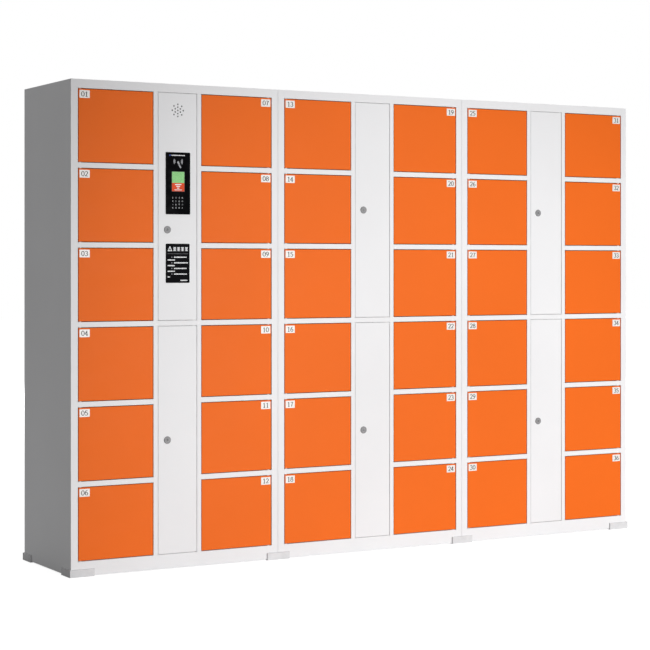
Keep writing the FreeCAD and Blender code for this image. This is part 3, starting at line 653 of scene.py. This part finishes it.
def access_door_back(door):
    """The stiffeners and buffers behind a service door, which leave room for what else is there."""
    node = f"access_door_{door}"
    low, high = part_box(node)
    bottom, top = leaf_bottom(node), leaf_top(node)
    piece = Piece(f"access_stiffener_{door}", white_paint)
    if door == "1_upper":
        reach, gap = 290 * MM, 20 * MM
        spans = [(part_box("terminal_housing")[1].z + gap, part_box("speaker")[0].z - gap)]
        spans.append((bottom + STIFFENER_CLEAR, bottom + reach))
    else:
        reach = 385 * MM
        spans = [(bottom + STIFFENER_CLEAR, bottom + reach), (top - reach, top - STIFFENER_CLEAR)]
    for start, end in spans:
        stiffener(piece, (low.x + high.x) / 2, start, end, NARROW_STIFFENER)
    piece.make(node, "white_steel")
    buffers(f"access_buffers_{door}", node, low.x + LEAF_LIP / 2)
    door_seal(door)
    hinge_washers(node, high.x - PIVOT_INSET)


def door_seal(door):
    """A white strip round a service door's edge, which half fills the gap to the frame."""
    node = f"access_door_{door}"
    low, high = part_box(node)
    bottom, top = leaf_bottom(node), leaf_top(node)
    near, far = door_face + 1.3 * MM, door_face + 3.6 * MM
    proud, inset = 1.2 * MM, 0.1 * MM
    piece = Piece(f"door_seal_{door}", white_rubber)
    for x, side in ((low.x, -1), (high.x, 1)):
        edges = sorted((x - side * inset, x + side * proud))
        piece.block((edges[0], near, bottom - proud), (edges[1], far, top + proud))
    for z, side in ((bottom, -1), (top, 1)):
        edges = sorted((z - side * inset, z + side * proud))
        piece.block((low.x, near, edges[0]), (high.x, far, edges[1]))
    piece.make(node)


BEZEL = in_mm((6.2, 2.65), (12.1, 2.65), (12.1, 0.05), (14, 0.05), (14, 1.4), (12.8, 3), (6.2, 3))


def lock_bezel(door):
    """A chrome cap over the flange of a service door's key lock, open round the plug."""
    joints = frame["record"]["behaviour"]["joints"]
    places = {joint["name"]: joint["pos_m"] for joint in joints}
    face = facing(FRONT, *places[f"cam_lock_{door}_turn"])
    piece = Piece(f"lock_bezel_{door}", lock_chrome)
    piece.turning(face, BEZEL, closed=True, count=40)
    piece.make(f"access_door_{door}")


# ---- inside the cabinets

CABINET_WIDTH = 848 * MM
PARTITION = 334.45 * MM
ROW_PITCH = 289 * MM
FIRST_ROW = 58.2 * MM
DOOR_HEIGHT = 265.2 * MM
SHELF_DROP = 2.9 * MM
LOCK_WIDTH = 24 * MM
LOCK_MIDDLE = 42.5 * MM
LOCK_BACK = 64.5 * MM
LOCK_COVER = mm(38, 70)
COVER_GAUGE = 1.2 * MM
LOCK_LABEL = mm(22, 12)
LOCK_PLUG = mm(11, 14)
RELEASE_TAB = mm(9, 5)
CABLE_HOLE = 93 * MM
GROMMET = in_mm((7.5, 0), (7.5, 1), (6, 2), (3, 2), (2.6, 0.4))
back_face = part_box("back_panels")[1].y
cable_line = door_face + CABLE_HOLE
service_shelf = FIRST_ROW + ROWS // 2 * ROW_PITCH - SHELF_DROP


def cabinet_left(cabinet):
    return (cabinet - 2.5) * CABINET_WIDTH


def partitions(cabinet):
    """Each partition's face on the compartments' side, and which way that face looks."""
    left = cabinet_left(cabinet)
    return ((left + PARTITION, -1), (left + CABINET_WIDTH - PARTITION, 1))


def lock_places():
    """Each electric lock's partition face, the way that face looks, and the lock's level."""
    for cabinet in CABINETS:
        for wall, side in partitions(cabinet):
            for row in range(ROWS):
                yield wall, side, FIRST_ROW + row * ROW_PITCH + DOOR_HEIGHT / 2


def lock_trim():
    """A screwed cover, a release tab, a plug and a grommet at each electric lock, and its wires."""
    covers = Piece("lock_covers", zinc, black_plastic, rubber, label_silver)
    back = door_face + LOCK_BACK
    routes = []
    for wall, side, level in lock_places():
        face = facing((side, 0, 0), wall + side * LOCK_WIDTH, door_face + LOCK_MIDDLE, level)
        covers.plate(face, LOCK_COVER, 2 * MM, COVER_GAUGE)
        covers.plate(face, LOCK_LABEL, 1 * MM, COVER_GAUGE + FINE, 1 * MM, HAIR, 3, mm(0, 16))
        covers.four_screws(face, 2.6 * MM, mm(15, 31), COVER_GAUGE)
        covers.plate(face, RELEASE_TAB, 1.5 * MM, 4 * MM, 1 * MM, EASED, 1, mm(0, -16))
        middle = wall + side * LOCK_WIDTH / 2
        covers.plate(facing(BACK, middle, back, level), LOCK_PLUG, 1 * MM, 8 * MM, 0, EASED, 1)
        covers.turning(facing((side, 0, 0), wall, cable_line, level), GROMMET, 2, count=20)
        for wire in (-1, 1):
            height = level + wire * 2 * MM
            near = level + wire * 1 * MM
            routes.append([
                (middle, back + 6 * MM, height),
                (middle, back + 20 * MM, height),
                (middle + side * 2 * MM, cable_line - 2 * MM, height),
                (wall + side * 9 * MM, cable_line, near),
                (wall + side * 0.3 * MM, cable_line, near),
            ])
    covers.make("cabinets")
    wires("lock_wires", "cabinets", routes, 1.7 * MM)


TRUNK = mm(32, 26)
TRUNK_WALL = 1.6 * MM
TRUNK_PITCH = 12.5 * MM
TRUNK_BOTTOM = 46 * MM
TRUNK_TOP = 1775 * MM
TRUNK_GAP = 3 * MM
TRUNK_LID = 2 * MM


def trunks():
    """Each length of trunking: its wall, the way that wall's other face looks, bottom and top."""
    for cabinet in CABINETS:
        for wall, side in partitions(cabinet):
            yield wall, side, TRUNK_BOTTOM, service_shelf - TRUNK_GAP
            yield wall, side, service_shelf + TRUNK_GAP, TRUNK_TOP


def trunking():
    """Slotted cable trunking up both walls of each service bay, closed by a lid."""
    piece = Piece("cable_trunking", grey_pvc)
    width, depth = TRUNK
    half = width / 2
    finger = rounded(TRUNK_WALL, 0.6 * TRUNK_PITCH, FINE, 1)
    for wall, side, bottom, top in trunks():
        face = facing((-side, 0, 0), wall - side * (SHEET + CLEAR), cable_line, bottom)
        height = top - bottom
        outline = [(-half, 0), (half, 0), (half, height), (-half, height)]
        piece.stack(face, [(outline, 0), (outline, TRUNK_WALL)])
        count = int(height / TRUNK_PITCH)
        for number in range(count):
            level = (number + 0.5) * height / count
            for edge in (-1, 1):
                at = (edge * (half - TRUNK_WALL / 2), level)
                piece.stack(face, [(finger, TRUNK_WALL), (finger, depth - TRUNK_LID)], at=at)
        lid = (width + 1 * MM, height - 2 * MM)
        piece.plate(face, lid, 1 * MM, depth, depth - TRUNK_LID, EASED, 0, (0, height / 2))
    piece.make("cabinets")


LID_FRONT = 155.4 * MM
BOX_BOTTOM = 441.5 * MM
BOX_TOP = 684.5 * MM
BOX_GLAND = mm(34, 190)
LAMP_RIM = in_mm((4.2, 0), (4.2, 1.2), (3.2, 2), (2.7, 2), (2.7, 0))
LAMP_LENS = in_mm((2.6, 0), (2.6, 2), (2, 3.2), (0.8, 3.8))


def control_box_trim():
    """Lid screws, lamps, a label and cable glands on the control box, with cables to the trunking."""
    left, right = (wall for wall, _ in partitions(1))
    middle = (left + right) / 2
    lid = facing(FRONT, middle, LID_FRONT, (BOX_BOTTOM + BOX_TOP) / 2)
    piece = Piece("control_box_trim", zinc, black_plastic, label_silver, lamp_green, lamp_red, grey_ink_painted_glow)
    piece.four_screws(lid, 3.4 * MM, mm(58, 113))
    piece.plate(lid, mm(74, 42), 2 * MM, 0.4 * MM, 0, FINE, 2, mm(-8, 72))
    piece.bars(lid, (50, 62, 38, 56), (-40, 86), 9, 2.6 * MM, 0.5 * MM, 5, 0.2 * MM)
    for number, colour in enumerate((3, 3, 4)):
        at = mm(46, 86 - 14 * number)
        piece.turning(lid, LAMP_RIM, 1, at, True, 20)
        piece.turning(lid, LAMP_LENS, colour, at, count=20)
    piece.bars(lid, [68] * 9, (-34, -30), 8, 2.4 * MM, 0.3 * MM, 1)
    routes = []
    for side in (-1, 1):
        x = middle + side * BOX_GLAND[0]
        y = BOX_GLAND[1]
        entry = facing(DOWN, x, y, BOX_BOTTOM + 1.5 * MM)
        nut = many_sided(11 * MM, 6)
        neck = circle(8 * MM)
        layers = [(nut, 0), (nut, 5 * MM), (neck, 5.5 * MM), (circle(7 * MM), 12 * MM)]
        layers.append((circle(4.5 * MM), 14 * MM))
        piece.stack(entry, layers, 1)
        wall = right if side > 0 else left
        trunk, edge = wall - side * 15 * MM, cable_line + TRUNK[0] / 2
        top = BOX_BOTTOM - 10 * MM
        for number in range(4):
            spread = (number - 1.5) * 3 * MM
            routes.append([
                (x + spread * 0.5, y, top),
                (x + spread * 0.6, y, top - 60 * MM),
                (x + side * 22 * MM, y - 20 * MM, top - 110 * MM + spread),
                (trunk - side * 6 * MM, y - 120 * MM, top - 130 * MM + spread * 1.5),
                (trunk, edge + 40 * MM, top - 124 * MM + spread * 2),
                (trunk, edge - 6 * MM, top - 122 * MM + spread * 2),
            ])
    piece.make("cabinets")
    wires("control_cables", "cabinets", routes, 2.6 * MM)


def door_wiring():
    """The wires of the terminal and the speaker, led to a plug beside the first door's hinge."""
    low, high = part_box("terminal_housing")
    speaker_low, speaker_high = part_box("speaker")
    speaker = ((speaker_low.x + speaker_high.x) / 2, (speaker_low.z + speaker_high.z) / 2)
    magnet = speaker_high.y
    lane = high.x + 11 * MM
    trim = Piece("door_wiring_trim", black_plastic, pale_nylon, zinc, label_silver)
    middle = (low.x + high.x) / 2
    drop = 70 * MM
    socket = (low.z + high.z) / 2 - drop
    rear = facing(BACK, middle, high.y, (low.z + high.z) / 2)
    trim.four_screws(rear, 3 * MM, mm(38, 102), 0, 2)
    trim.plate(rear, mm(60, 34), 2 * MM, 0.4 * MM, 0, FINE, 3, mm(0, 46))
    trim.plate(rear, mm(26, 12), 1 * MM, 6 * MM, 0, EASED, 1, (0, -drop))
    speaker_rear = facing(BACK, speaker[0], magnet, speaker[1])
    trim.plate(speaker_rear, mm(14, 7), 0.5 * MM, 3 * MM, 0, 0.3 * MM, 1)
    end = low.z - 60 * MM
    plug = facing(BACK, lane, door_face + SHEET, end)
    trim.plate(plug, mm(14, 24), 1.5 * MM, 12 * MM, 0, 0.6 * MM, 1)
    for level in (low.z + 40 * MM, high.z - 20 * MM, high.z + 50 * MM):
        clip = facing(BACK, lane, door_face + SHEET, level)
        trim.plate(clip, mm(12, 8), 2 * MM, 11 * MM, 0, 0.8 * MM)
    trim.make(TERMINAL_DOOR)
    depth = door_face + 8 * MM
    routes = []
    for number in range(2):
        shift = (number - 0.5) * 2.4 * MM
        routes.append([
            (speaker[0] + shift, magnet + 2 * MM, speaker[1]),
            (speaker[0] + shift, magnet + 9 * MM, speaker[1] - 12 * MM),
            (lane - 20 * MM, magnet + 3 * MM, speaker[1] - 34 * MM),
            (lane + shift, depth, speaker[1] - 70 * MM),
            (lane + shift, depth, high.z),
            (lane + shift, depth, low.z),
            (lane + shift, depth, end + 8 * MM),
        ])
    for number in range(4):
        shift = (number - 1.5) * 2.2 * MM
        routes.append([
            (middle + shift * 2, high.y + 4 * MM, socket),
            (middle + shift * 2, high.y + 14 * MM, socket - 6 * MM),
            (lane - 16 * MM, high.y + 8 * MM, socket - 24 * MM + shift),
            (lane + 1 * MM, depth + 12 * MM, socket - 40 * MM + shift),
            (lane + shift, depth + 3 * MM, end + 50 * MM),
            (lane + shift, depth + 3 * MM, end + 8 * MM),
        ])
    wires("door_wires", TERMINAL_DOOR, routes, 1.8 * MM)


CHART = mm(80, 54)
CHART_CELL = mm(15, 9)
CHART_PITCH = mm(18, 11.5)


def wiring_chart(door):
    """A printed chart stuck behind a service door, beside its lock."""
    node = f"access_door_{door}"
    low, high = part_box(node)
    x = high.x - LEAF_LIP - 6 * MM - CHART[0] / 2
    face = facing(BACK, x, door_face + SHEET, (low.z + high.z) / 2)
    piece = Piece(f"wiring_chart_{door}", plate_white, dark_ink)
    piece.plate(face, CHART, 1 * MM, 0.3 * MM, 0, HAIR)
    outer, inner = (rounded(CHART_CELL[0] - cut, CHART_CELL[1] - cut, 0.3 * MM, 2) for cut in mm(0, 0.9))
    base, top = 0.2 * MM, 0.4 * MM
    for column in range(4):
        for row in range(4):
            at = ((column - 1.5) * CHART_PITCH[0], (row - 1.5) * CHART_PITCH[1])
            piece.rim(face, outer, inner, base, top, 1, at)
            ends = [mm(-4, 0), mm(chance.uniform(0, 4), 0)]
            piece.stroke(face, ends, 1.6 * MM, top, 1, base, at)
    piece.make(node)


WASHER = in_mm((2.8, 0), (5, 0), (5, 2.1), (2.8, 2.1))
WASHER_GAUGE = 2.1 * MM
WASHER_CLEAR = 0.15 * MM


def hinge_washers(node, x):
    """Nylon washers on a door's pivot pins, between its leaf and the rails."""
    piece = Piece(f"washers_{node}", pale_nylon)
    for level in (leaf_top(node) + WASHER_CLEAR, leaf_bottom(node) - WASHER_CLEAR - WASHER_GAUGE):
        face = facing(UP, x, door_face + PIVOT_INSET, level)
        piece.turning(face, WASHER, closed=True, count=20)
    piece.make(node)


SPOT_WELD = in_mm((3, -0.1), (2.7, 0.12), (1.3, 0.2))
RIVET = in_mm((3.2, -0.1), (3.2, 0.3), (2.4, 1.1), (1, 1.4))
EDGE_INSET = 12 * MM
GLAND_LEVEL = 123 * MM
GLAND_CAP = in_mm((12.5, 0), (12.5, 2.6), (10.5, 4), (6, 5), (4.6, 5), (4.2, 3))
LABEL_PIN = in_mm((1.6, 0.4), (1.6, 0.8), (0.8, 1.2))


def outside_details():
    """Weld marks and rivets on the back and the roof, a type label and the gland's rubber cap."""
    welds = Piece("outside_welds", white_paint)
    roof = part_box("roof_panels")[1].z
    for cabinet in CABINETS:
        left = cabinet_left(cabinet)
        columns = (EDGE_INSET, PARTITION, CABINET_WIDTH - PARTITION, CABINET_WIDTH - EDGE_INSET)
        for across in columns:
            for number in range(22):
                face = facing(BACK, left + across, back_face, (40 + 82 * number) * MM)
                welds.turning(face, SPOT_WELD, count=12)
        for row in range(1, ROWS):
            for number in range(12):
                across = (60 + 66 * number) * MM
                face = facing(BACK, left + across, back_face, FIRST_ROW + row * ROW_PITCH - SHELF_DROP)
                welds.turning(face, SPOT_WELD, count=12)
        for number in range(7):
            for depth in (-1, 1):
                across = (40 + 128 * number) * MM
                face = facing(UP, left + across, depth * (back_face - EDGE_INSET), roof)
                welds.turning(face, RIVET, count=14)
    welds.make("cabinets", "white_steel")

    trim = Piece("back_trim", rubber, label_silver, dark_ink)
    middle = cabinet_left(1) + CABINET_WIDTH / 2
    trim.turning(facing(BACK, middle, back_face, GLAND_LEVEL), GLAND_CAP)
    label = facing(BACK, middle + 110 * MM, back_face, 190 * MM)
    trim.plate(label, mm(76, 46), 2 * MM, 0.5 * MM, 0, FINE, 1)
    trim.bars(label, (34, 56, 48, 60), (-31, 14), 9, 2.2 * MM, 0.6 * MM, 2, 0.3 * MM)
    for side, top in CORNERS:
        trim.turning(label, LABEL_PIN, 1, mm(side * 34, top * 19.5), count=14)
    trim.make("cabinets")


# ---- terminal

LETTER_GAP = 0.9 * MM


def reader_symbol(piece, face, at, size, top, material):
    """A card held out in a hand between two pairs of waves."""
    for side in (-1, 1):
        for radius, half_turn in ((0.32, 28), (0.46, 34)):
            middle = 90 - side * 90
            radii = (radius * 0.8, radius)
            points = arc((side * 0.12, 0.16), radii, middle - half_turn, middle + half_turn, 10)
            piece.stroke(face, enlarged(points, size), 0.075 * size, top, material, 0, at)
    card = enlarged([(-0.14, 0.10), (0.02, 0.22), (0.20, -0.10), (0.05, -0.22)], size)
    piece.stack(face, [(card, 0), (card, top)], material, at)
    hand = [(0.07, -0.14), (0.20, -0.32), (0.30, -0.50)]
    piece.stroke(face, enlarged(hand, size), 0.16 * size, top, material, 0, at)


def terminal():
    """What is printed and lit on the terminal's glass, from the top down."""
    low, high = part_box("terminal_panel")
    face = facing(FRONT, (low.x + high.x) / 2, low.y, high.z)
    for make_piece in (header_and_symbol, terminal_display, keypad):
        make_piece(face).make(TERMINAL_DOOR, "terminal_glass")


def header_and_symbol(face):
    """A ring and a row of blocks that stand for the header, and the card reader's symbol."""
    marks = Piece("terminal_print", white_ink_with_painted_glow, grey_ink_painted_glow, blue_ink_painted_glow)
    level = -11.5 * MM
    marks.rim(face, circle(2.8 * MM), circle(1.9 * MM), 0, PRINT, 2, (-33 * MM, level))
    across, end = -27 * MM, 24 * MM
    while across < end:
        width = chance.uniform(3.0, 5.5) * MM
        at = (across + width / 2, level)
        marks.plate(face, (width, 3.4 * MM), 0.8 * MM, PRINT, 0, HAIR, 0, at)
        across += width + LETTER_GAP
    reader_symbol(marks, face, mm(0, -40), 36 * MM, PRINT, 1)
    return marks


SCREEN_WIDTH = 50.3 * MM
SCREEN_TOP, SCREEN_SPLIT, SCREEN_BOTTOM = mm(-72.6, -114, -145)
SCREEN_RIM = 2 * MM
SCREEN_BARS = ((26, 3.4), (15, 3.2), (9, 3.0), (30, 2.4))


def terminal_display(face):
    """A rimmed screen in two fields, with bars for the text in the lower one."""
    screen = Piece("terminal_display", green_field, orange_field, black_plastic, white_ink_with_painted_glow)
    rim = (SCREEN_WIDTH + SCREEN_RIM, SCREEN_TOP - SCREEN_BOTTOM + SCREEN_RIM)
    middle = (SCREEN_TOP + SCREEN_BOTTOM) / 2
    screen.plate(face, rim, 1 * MM, PRINT, 0, HAIR, 2, (0, middle))
    for number, (start, end) in enumerate(((SCREEN_TOP, SCREEN_SPLIT), (SCREEN_SPLIT, SCREEN_BOTTOM))):
        size = (SCREEN_WIDTH, start - end)
        screen.plate(face, size, 0.2 * MM, 2 * PRINT, 0, 0.02 * MM, number, (0, (start + end) / 2))
    for row, size in enumerate(SCREEN_BARS):
        at = (0, SCREEN_SPLIT - (6 + 6.6 * row) * MM)
        screen.plate(face, mm(*size), 1 * MM, 2.6 * PRINT, 0, 0.03 * MM, 3, at)
    return screen


KEY_ROWS = ("123A", "456B", "789C", "D0EF")
KEY_PITCH = mm(13.1, 12.4)
FIRST_KEY = mm(-22.2, -169.4)
KEY_MARK = 5.8 * MM


def keypad(face):
    """The touch keys' marks."""
    keys = Piece("terminal_keys", pale_ink_painted_glow)
    for row, figures in enumerate(KEY_ROWS):
        for column, figure in enumerate(figures):
            at = (FIRST_KEY[0] + column * KEY_PITCH[0], FIRST_KEY[1] - row * KEY_PITCH[1])
            key_mark(keys, face, figure, at)
    return keys


def key_mark(piece, face, figure, at):
    """A numeral, or for a letter a plain symbol: A ring, B bars, C and F arrows, D cross, E square."""
    size = KEY_MARK

    def line(*points, breadth=0.16):
        piece.stroke(face, enlarged(points, size), breadth * size, PRINT, 0, 0, at)

    if figure in NUMERALS:
        numeral(piece, face, figure, size, at, PRINT, 0)
    elif figure == "A":
        piece.rim(face, circle(size * 0.42), circle(size * 0.25), 0, PRINT, 0, at)
    elif figure == "B":
        for level in (-0.22, 0.22):
            line((-0.4, level), (0.4, level))
    elif figure in "CF":
        turn = 1 if figure == "C" else -1
        line((0.3 * turn, 0.4), (-0.25 * turn, 0), (0.3 * turn, -0.4), breadth=0.18)
    elif figure == "D":
        for slant in (-1, 1):
            line((-0.36, -0.36 * slant), (0.36, 0.36 * slant))
    else:
        square = rounded(0.7 * size, 0.7 * size, 0.1 * size)
        piece.stack(face, [(square, 0), (square, PRINT)], 0, at)


# ---- notice

NOTICE = mm(97.5, 146)
NOTICE_TOP = 1209 * MM
NOTICE_LEFT = 29.6 * MM
NOTICE_BASE = 0.5 * MM
NOTICE_GAUGE = 1 * MM
NOTICE_INK = NOTICE_GAUGE + PRINT
WARNING_OUTER = in_mm((-9, -8), (9, -8), (1.2, 9.5), (-1.2, 9.5))
WARNING_INNER = in_mm((-5.6, -5.6), (5.6, -5.6), (0.6, 5), (-0.6, 5))
LINE_ENDS = mm(36, -10, 43, -10, 36, -10, 40, -30)


def notice():
    """A black notice plate: a warning triangle, a heading and numbered lines, all as plain blocks."""
    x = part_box(TERMINAL_DOOR)[0].x + NOTICE_LEFT + NOTICE[0] / 2
    face = facing(FRONT, x, door_face, NOTICE_TOP - NOTICE[1] / 2)
    base, ink = NOTICE_BASE, NOTICE_INK
    piece = Piece("notice_plate", notice_black, white_ink_with_painted_glow, grey_ink_painted_glow)
    piece.plate(face, NOTICE, 4 * MM, NOTICE_GAUGE)
    heading = NOTICE[1] / 2 - 19.6 * MM
    at = (-32 * MM, heading)
    piece.rim(face, WARNING_OUTER, WARNING_INNER, base, ink, 1, at)
    piece.stroke(face, in_mm((0, -1.5), (0, 2.5)), 1.8 * MM, ink, 1, base, at)
    piece.turning(face, [(1 * MM, base), (1 * MM, ink)], 1, (at[0], at[1] - 3.8 * MM), count=12)
    for number in range(4):
        heading_block(piece, face, (-12.5 * MM + number * 16 * MM, heading - 0.5 * MM))
    rule = NOTICE[0] / 2 - 6 * MM
    rule_level = heading - 18 * MM
    piece.stroke(face, [(-rule, rule_level), (rule, rule_level)], 0.6 * MM, ink, 2, base)
    for number, end in enumerate(LINE_ENDS):
        level = heading - (30.7 + 10.47 * number) * MM
        if number % 2:
            text_line(piece, face, -41 * MM, end, level)
        else:
            piece.plate(face, mm(3, 4.4), 0.8 * MM, ink, base, HAIR, 2, (-24 * MM, level))
            text_line(piece, face, -15 * MM, end, level)
    text_line(piece, face, 11 * MM, 40 * MM, heading - 117 * MM)
    piece.make(TERMINAL_DOOR)


def heading_block(piece, face, at):
    """A square of bars that stands for a heading's character."""
    for level in mm(-6, -2, 2, 6):
        half = chance.uniform(9, 12.5) * MM / 2
        piece.stroke(face, [(-half, level), (half, level)], 2.3 * MM, NOTICE_INK, 1, NOTICE_BASE, at)
    stem = [mm(chance.uniform(-2, 2), level) for level in (-6.5, 6.5)]
    piece.stroke(face, stem, 2.6 * MM, NOTICE_INK, 1, NOTICE_BASE, at)


def text_line(piece, face, start, end, level):
    """A row of blocks that stands for a line of text."""
    across = start
    while across < end - 2 * MM:
        width = min(chance.uniform(3.4, 5.2) * MM, end - across)
        height = chance.uniform(3.4, 4.8) * MM
        at = (across + width / 2, level)
        piece.plate(face, (width, height), 0.9 * MM, NOTICE_INK, NOTICE_BASE, HAIR, 1, at)
        across += width + LETTER_GAP


# ---- camera, light and floor

EYE = (-3.744, -6.431, 1.1255)
HEADING = math.radians(29.668)
LENS = 101.36
LENS_SHIFT = -0.0906
AMBIENT = 0.33
KEY_PLACE, KEY_TARGET = (2.6, -11.2, 1.2), (0.4, 0, 0.3)
KEY_CONE = math.radians(29.2)
KEY_POWER = 4200
BACK_PLACE, BACK_TARGET = (3, 9, 4), (0, 0, 0.9)
BACK_SIZE = 4
BACK_POWER = 600
FLOOR_REACH = 30
FLOOR_GLOW = 0.86


def camera():
    data = bpy.data.cameras.new("camera")
    data.lens = LENS
    data.sensor_width = 36
    data.shift_y = LENS_SHIFT
    viewer = put_in("camera", data)
    viewer.location = EYE
    viewer.rotation_euler = (math.pi / 2, 0, -HEADING)
    bpy.context.scene.camera = viewer


def lamp(name, kind, place, target, power):
    """A light that looks at a target; gives its data, for what its kind needs."""
    data = bpy.data.lights.new(name, kind)
    data.energy = power
    light = put_in(name, data)
    light.location = place
    light.rotation_euler = (Vector(target) - Vector(place)).to_track_quat("-Z", "Y").to_euler()
    return data


def studio():
    """A pale floor, a white surround, a soft round pool of light from the front and a lamp behind."""
    scene = bpy.context.scene
    scene.view_settings.view_transform = "Standard"
    surround = bpy.data.worlds.new("surround")
    surround.use_nodes = True
    nodes, links = surround.node_tree.nodes, surround.node_tree.links
    ambient, backdrop = nodes["Background"], nodes.new("ShaderNodeBackground")
    for light in (ambient, backdrop):
        light.inputs["Color"].default_value = (1, 1, 1, 1)
    ambient.inputs["Strength"].default_value = AMBIENT
    sight = nodes.new("ShaderNodeLightPath")
    choice = nodes.new("ShaderNodeMixShader")
    links.new(sight.outputs["Is Camera Ray"], choice.inputs["Fac"])
    links.new(ambient.outputs["Background"], choice.inputs[1])
    links.new(backdrop.outputs["Background"], choice.inputs[2])
    links.new(choice.outputs["Shader"], nodes["World Output"].inputs["Surface"])
    scene.world = surround

    key = lamp("key_light", "SPOT", KEY_PLACE, KEY_TARGET, KEY_POWER)
    key.spot_size = KEY_CONE
    key.spot_blend = 0.8
    key.shadow_soft_size = 0.9
    back = lamp("back_light", "AREA", BACK_PLACE, BACK_TARGET, BACK_POWER)
    back.shape = "RECTANGLE"
    back.size = back.size_y = BACK_SIZE

    ground = Piece("floor", floor_paint())
    outline = [(side * FLOOR_REACH, end * FLOOR_REACH) for side, end in CORNERS]
    ground.stack(facing(UP, 0, 0, 0), [(outline, -50 * MM), (outline, -0.2 * MM)])
    ground.make("cabinets")


def floor_paint():
    """Pale for the light that it returns, and to the eye almost as white as the surround."""
    recipe = Recipe("floor_paint", (0.5, 0.5, 0.5), 0.8, specular=0.1)
    drift = recipe.ranged(recipe.noise(0.8, 2), 0, 1)
    recipe.feed("Base Color", recipe.tinted(drift, (0.49, 0.49, 0.49), (0.51, 0.51, 0.51)))
    recipe.give("Emission Color", (1, 1, 1, 1))
    sight = recipe.node("LightPath")
    recipe.feed("Emission Strength", recipe.math("MULTIPLY", sight.outputs["Is Camera Ray"], FLOOR_GLOW))
    return recipe.material


camera()
studio()
finish_nodes()
for door_number in DOOR_NUMBERS:
    number_plate(door_number)
    door_back(door_number)
for access_door in ACCESS_DOORS:
    access_door_back(access_door)
    lock_bezel(access_door)
    if access_door != "1_upper":
        wiring_chart(access_door)
lock_trim()
trunking()
control_box_trim()
door_wiring()
outside_details()
terminal()
notice()
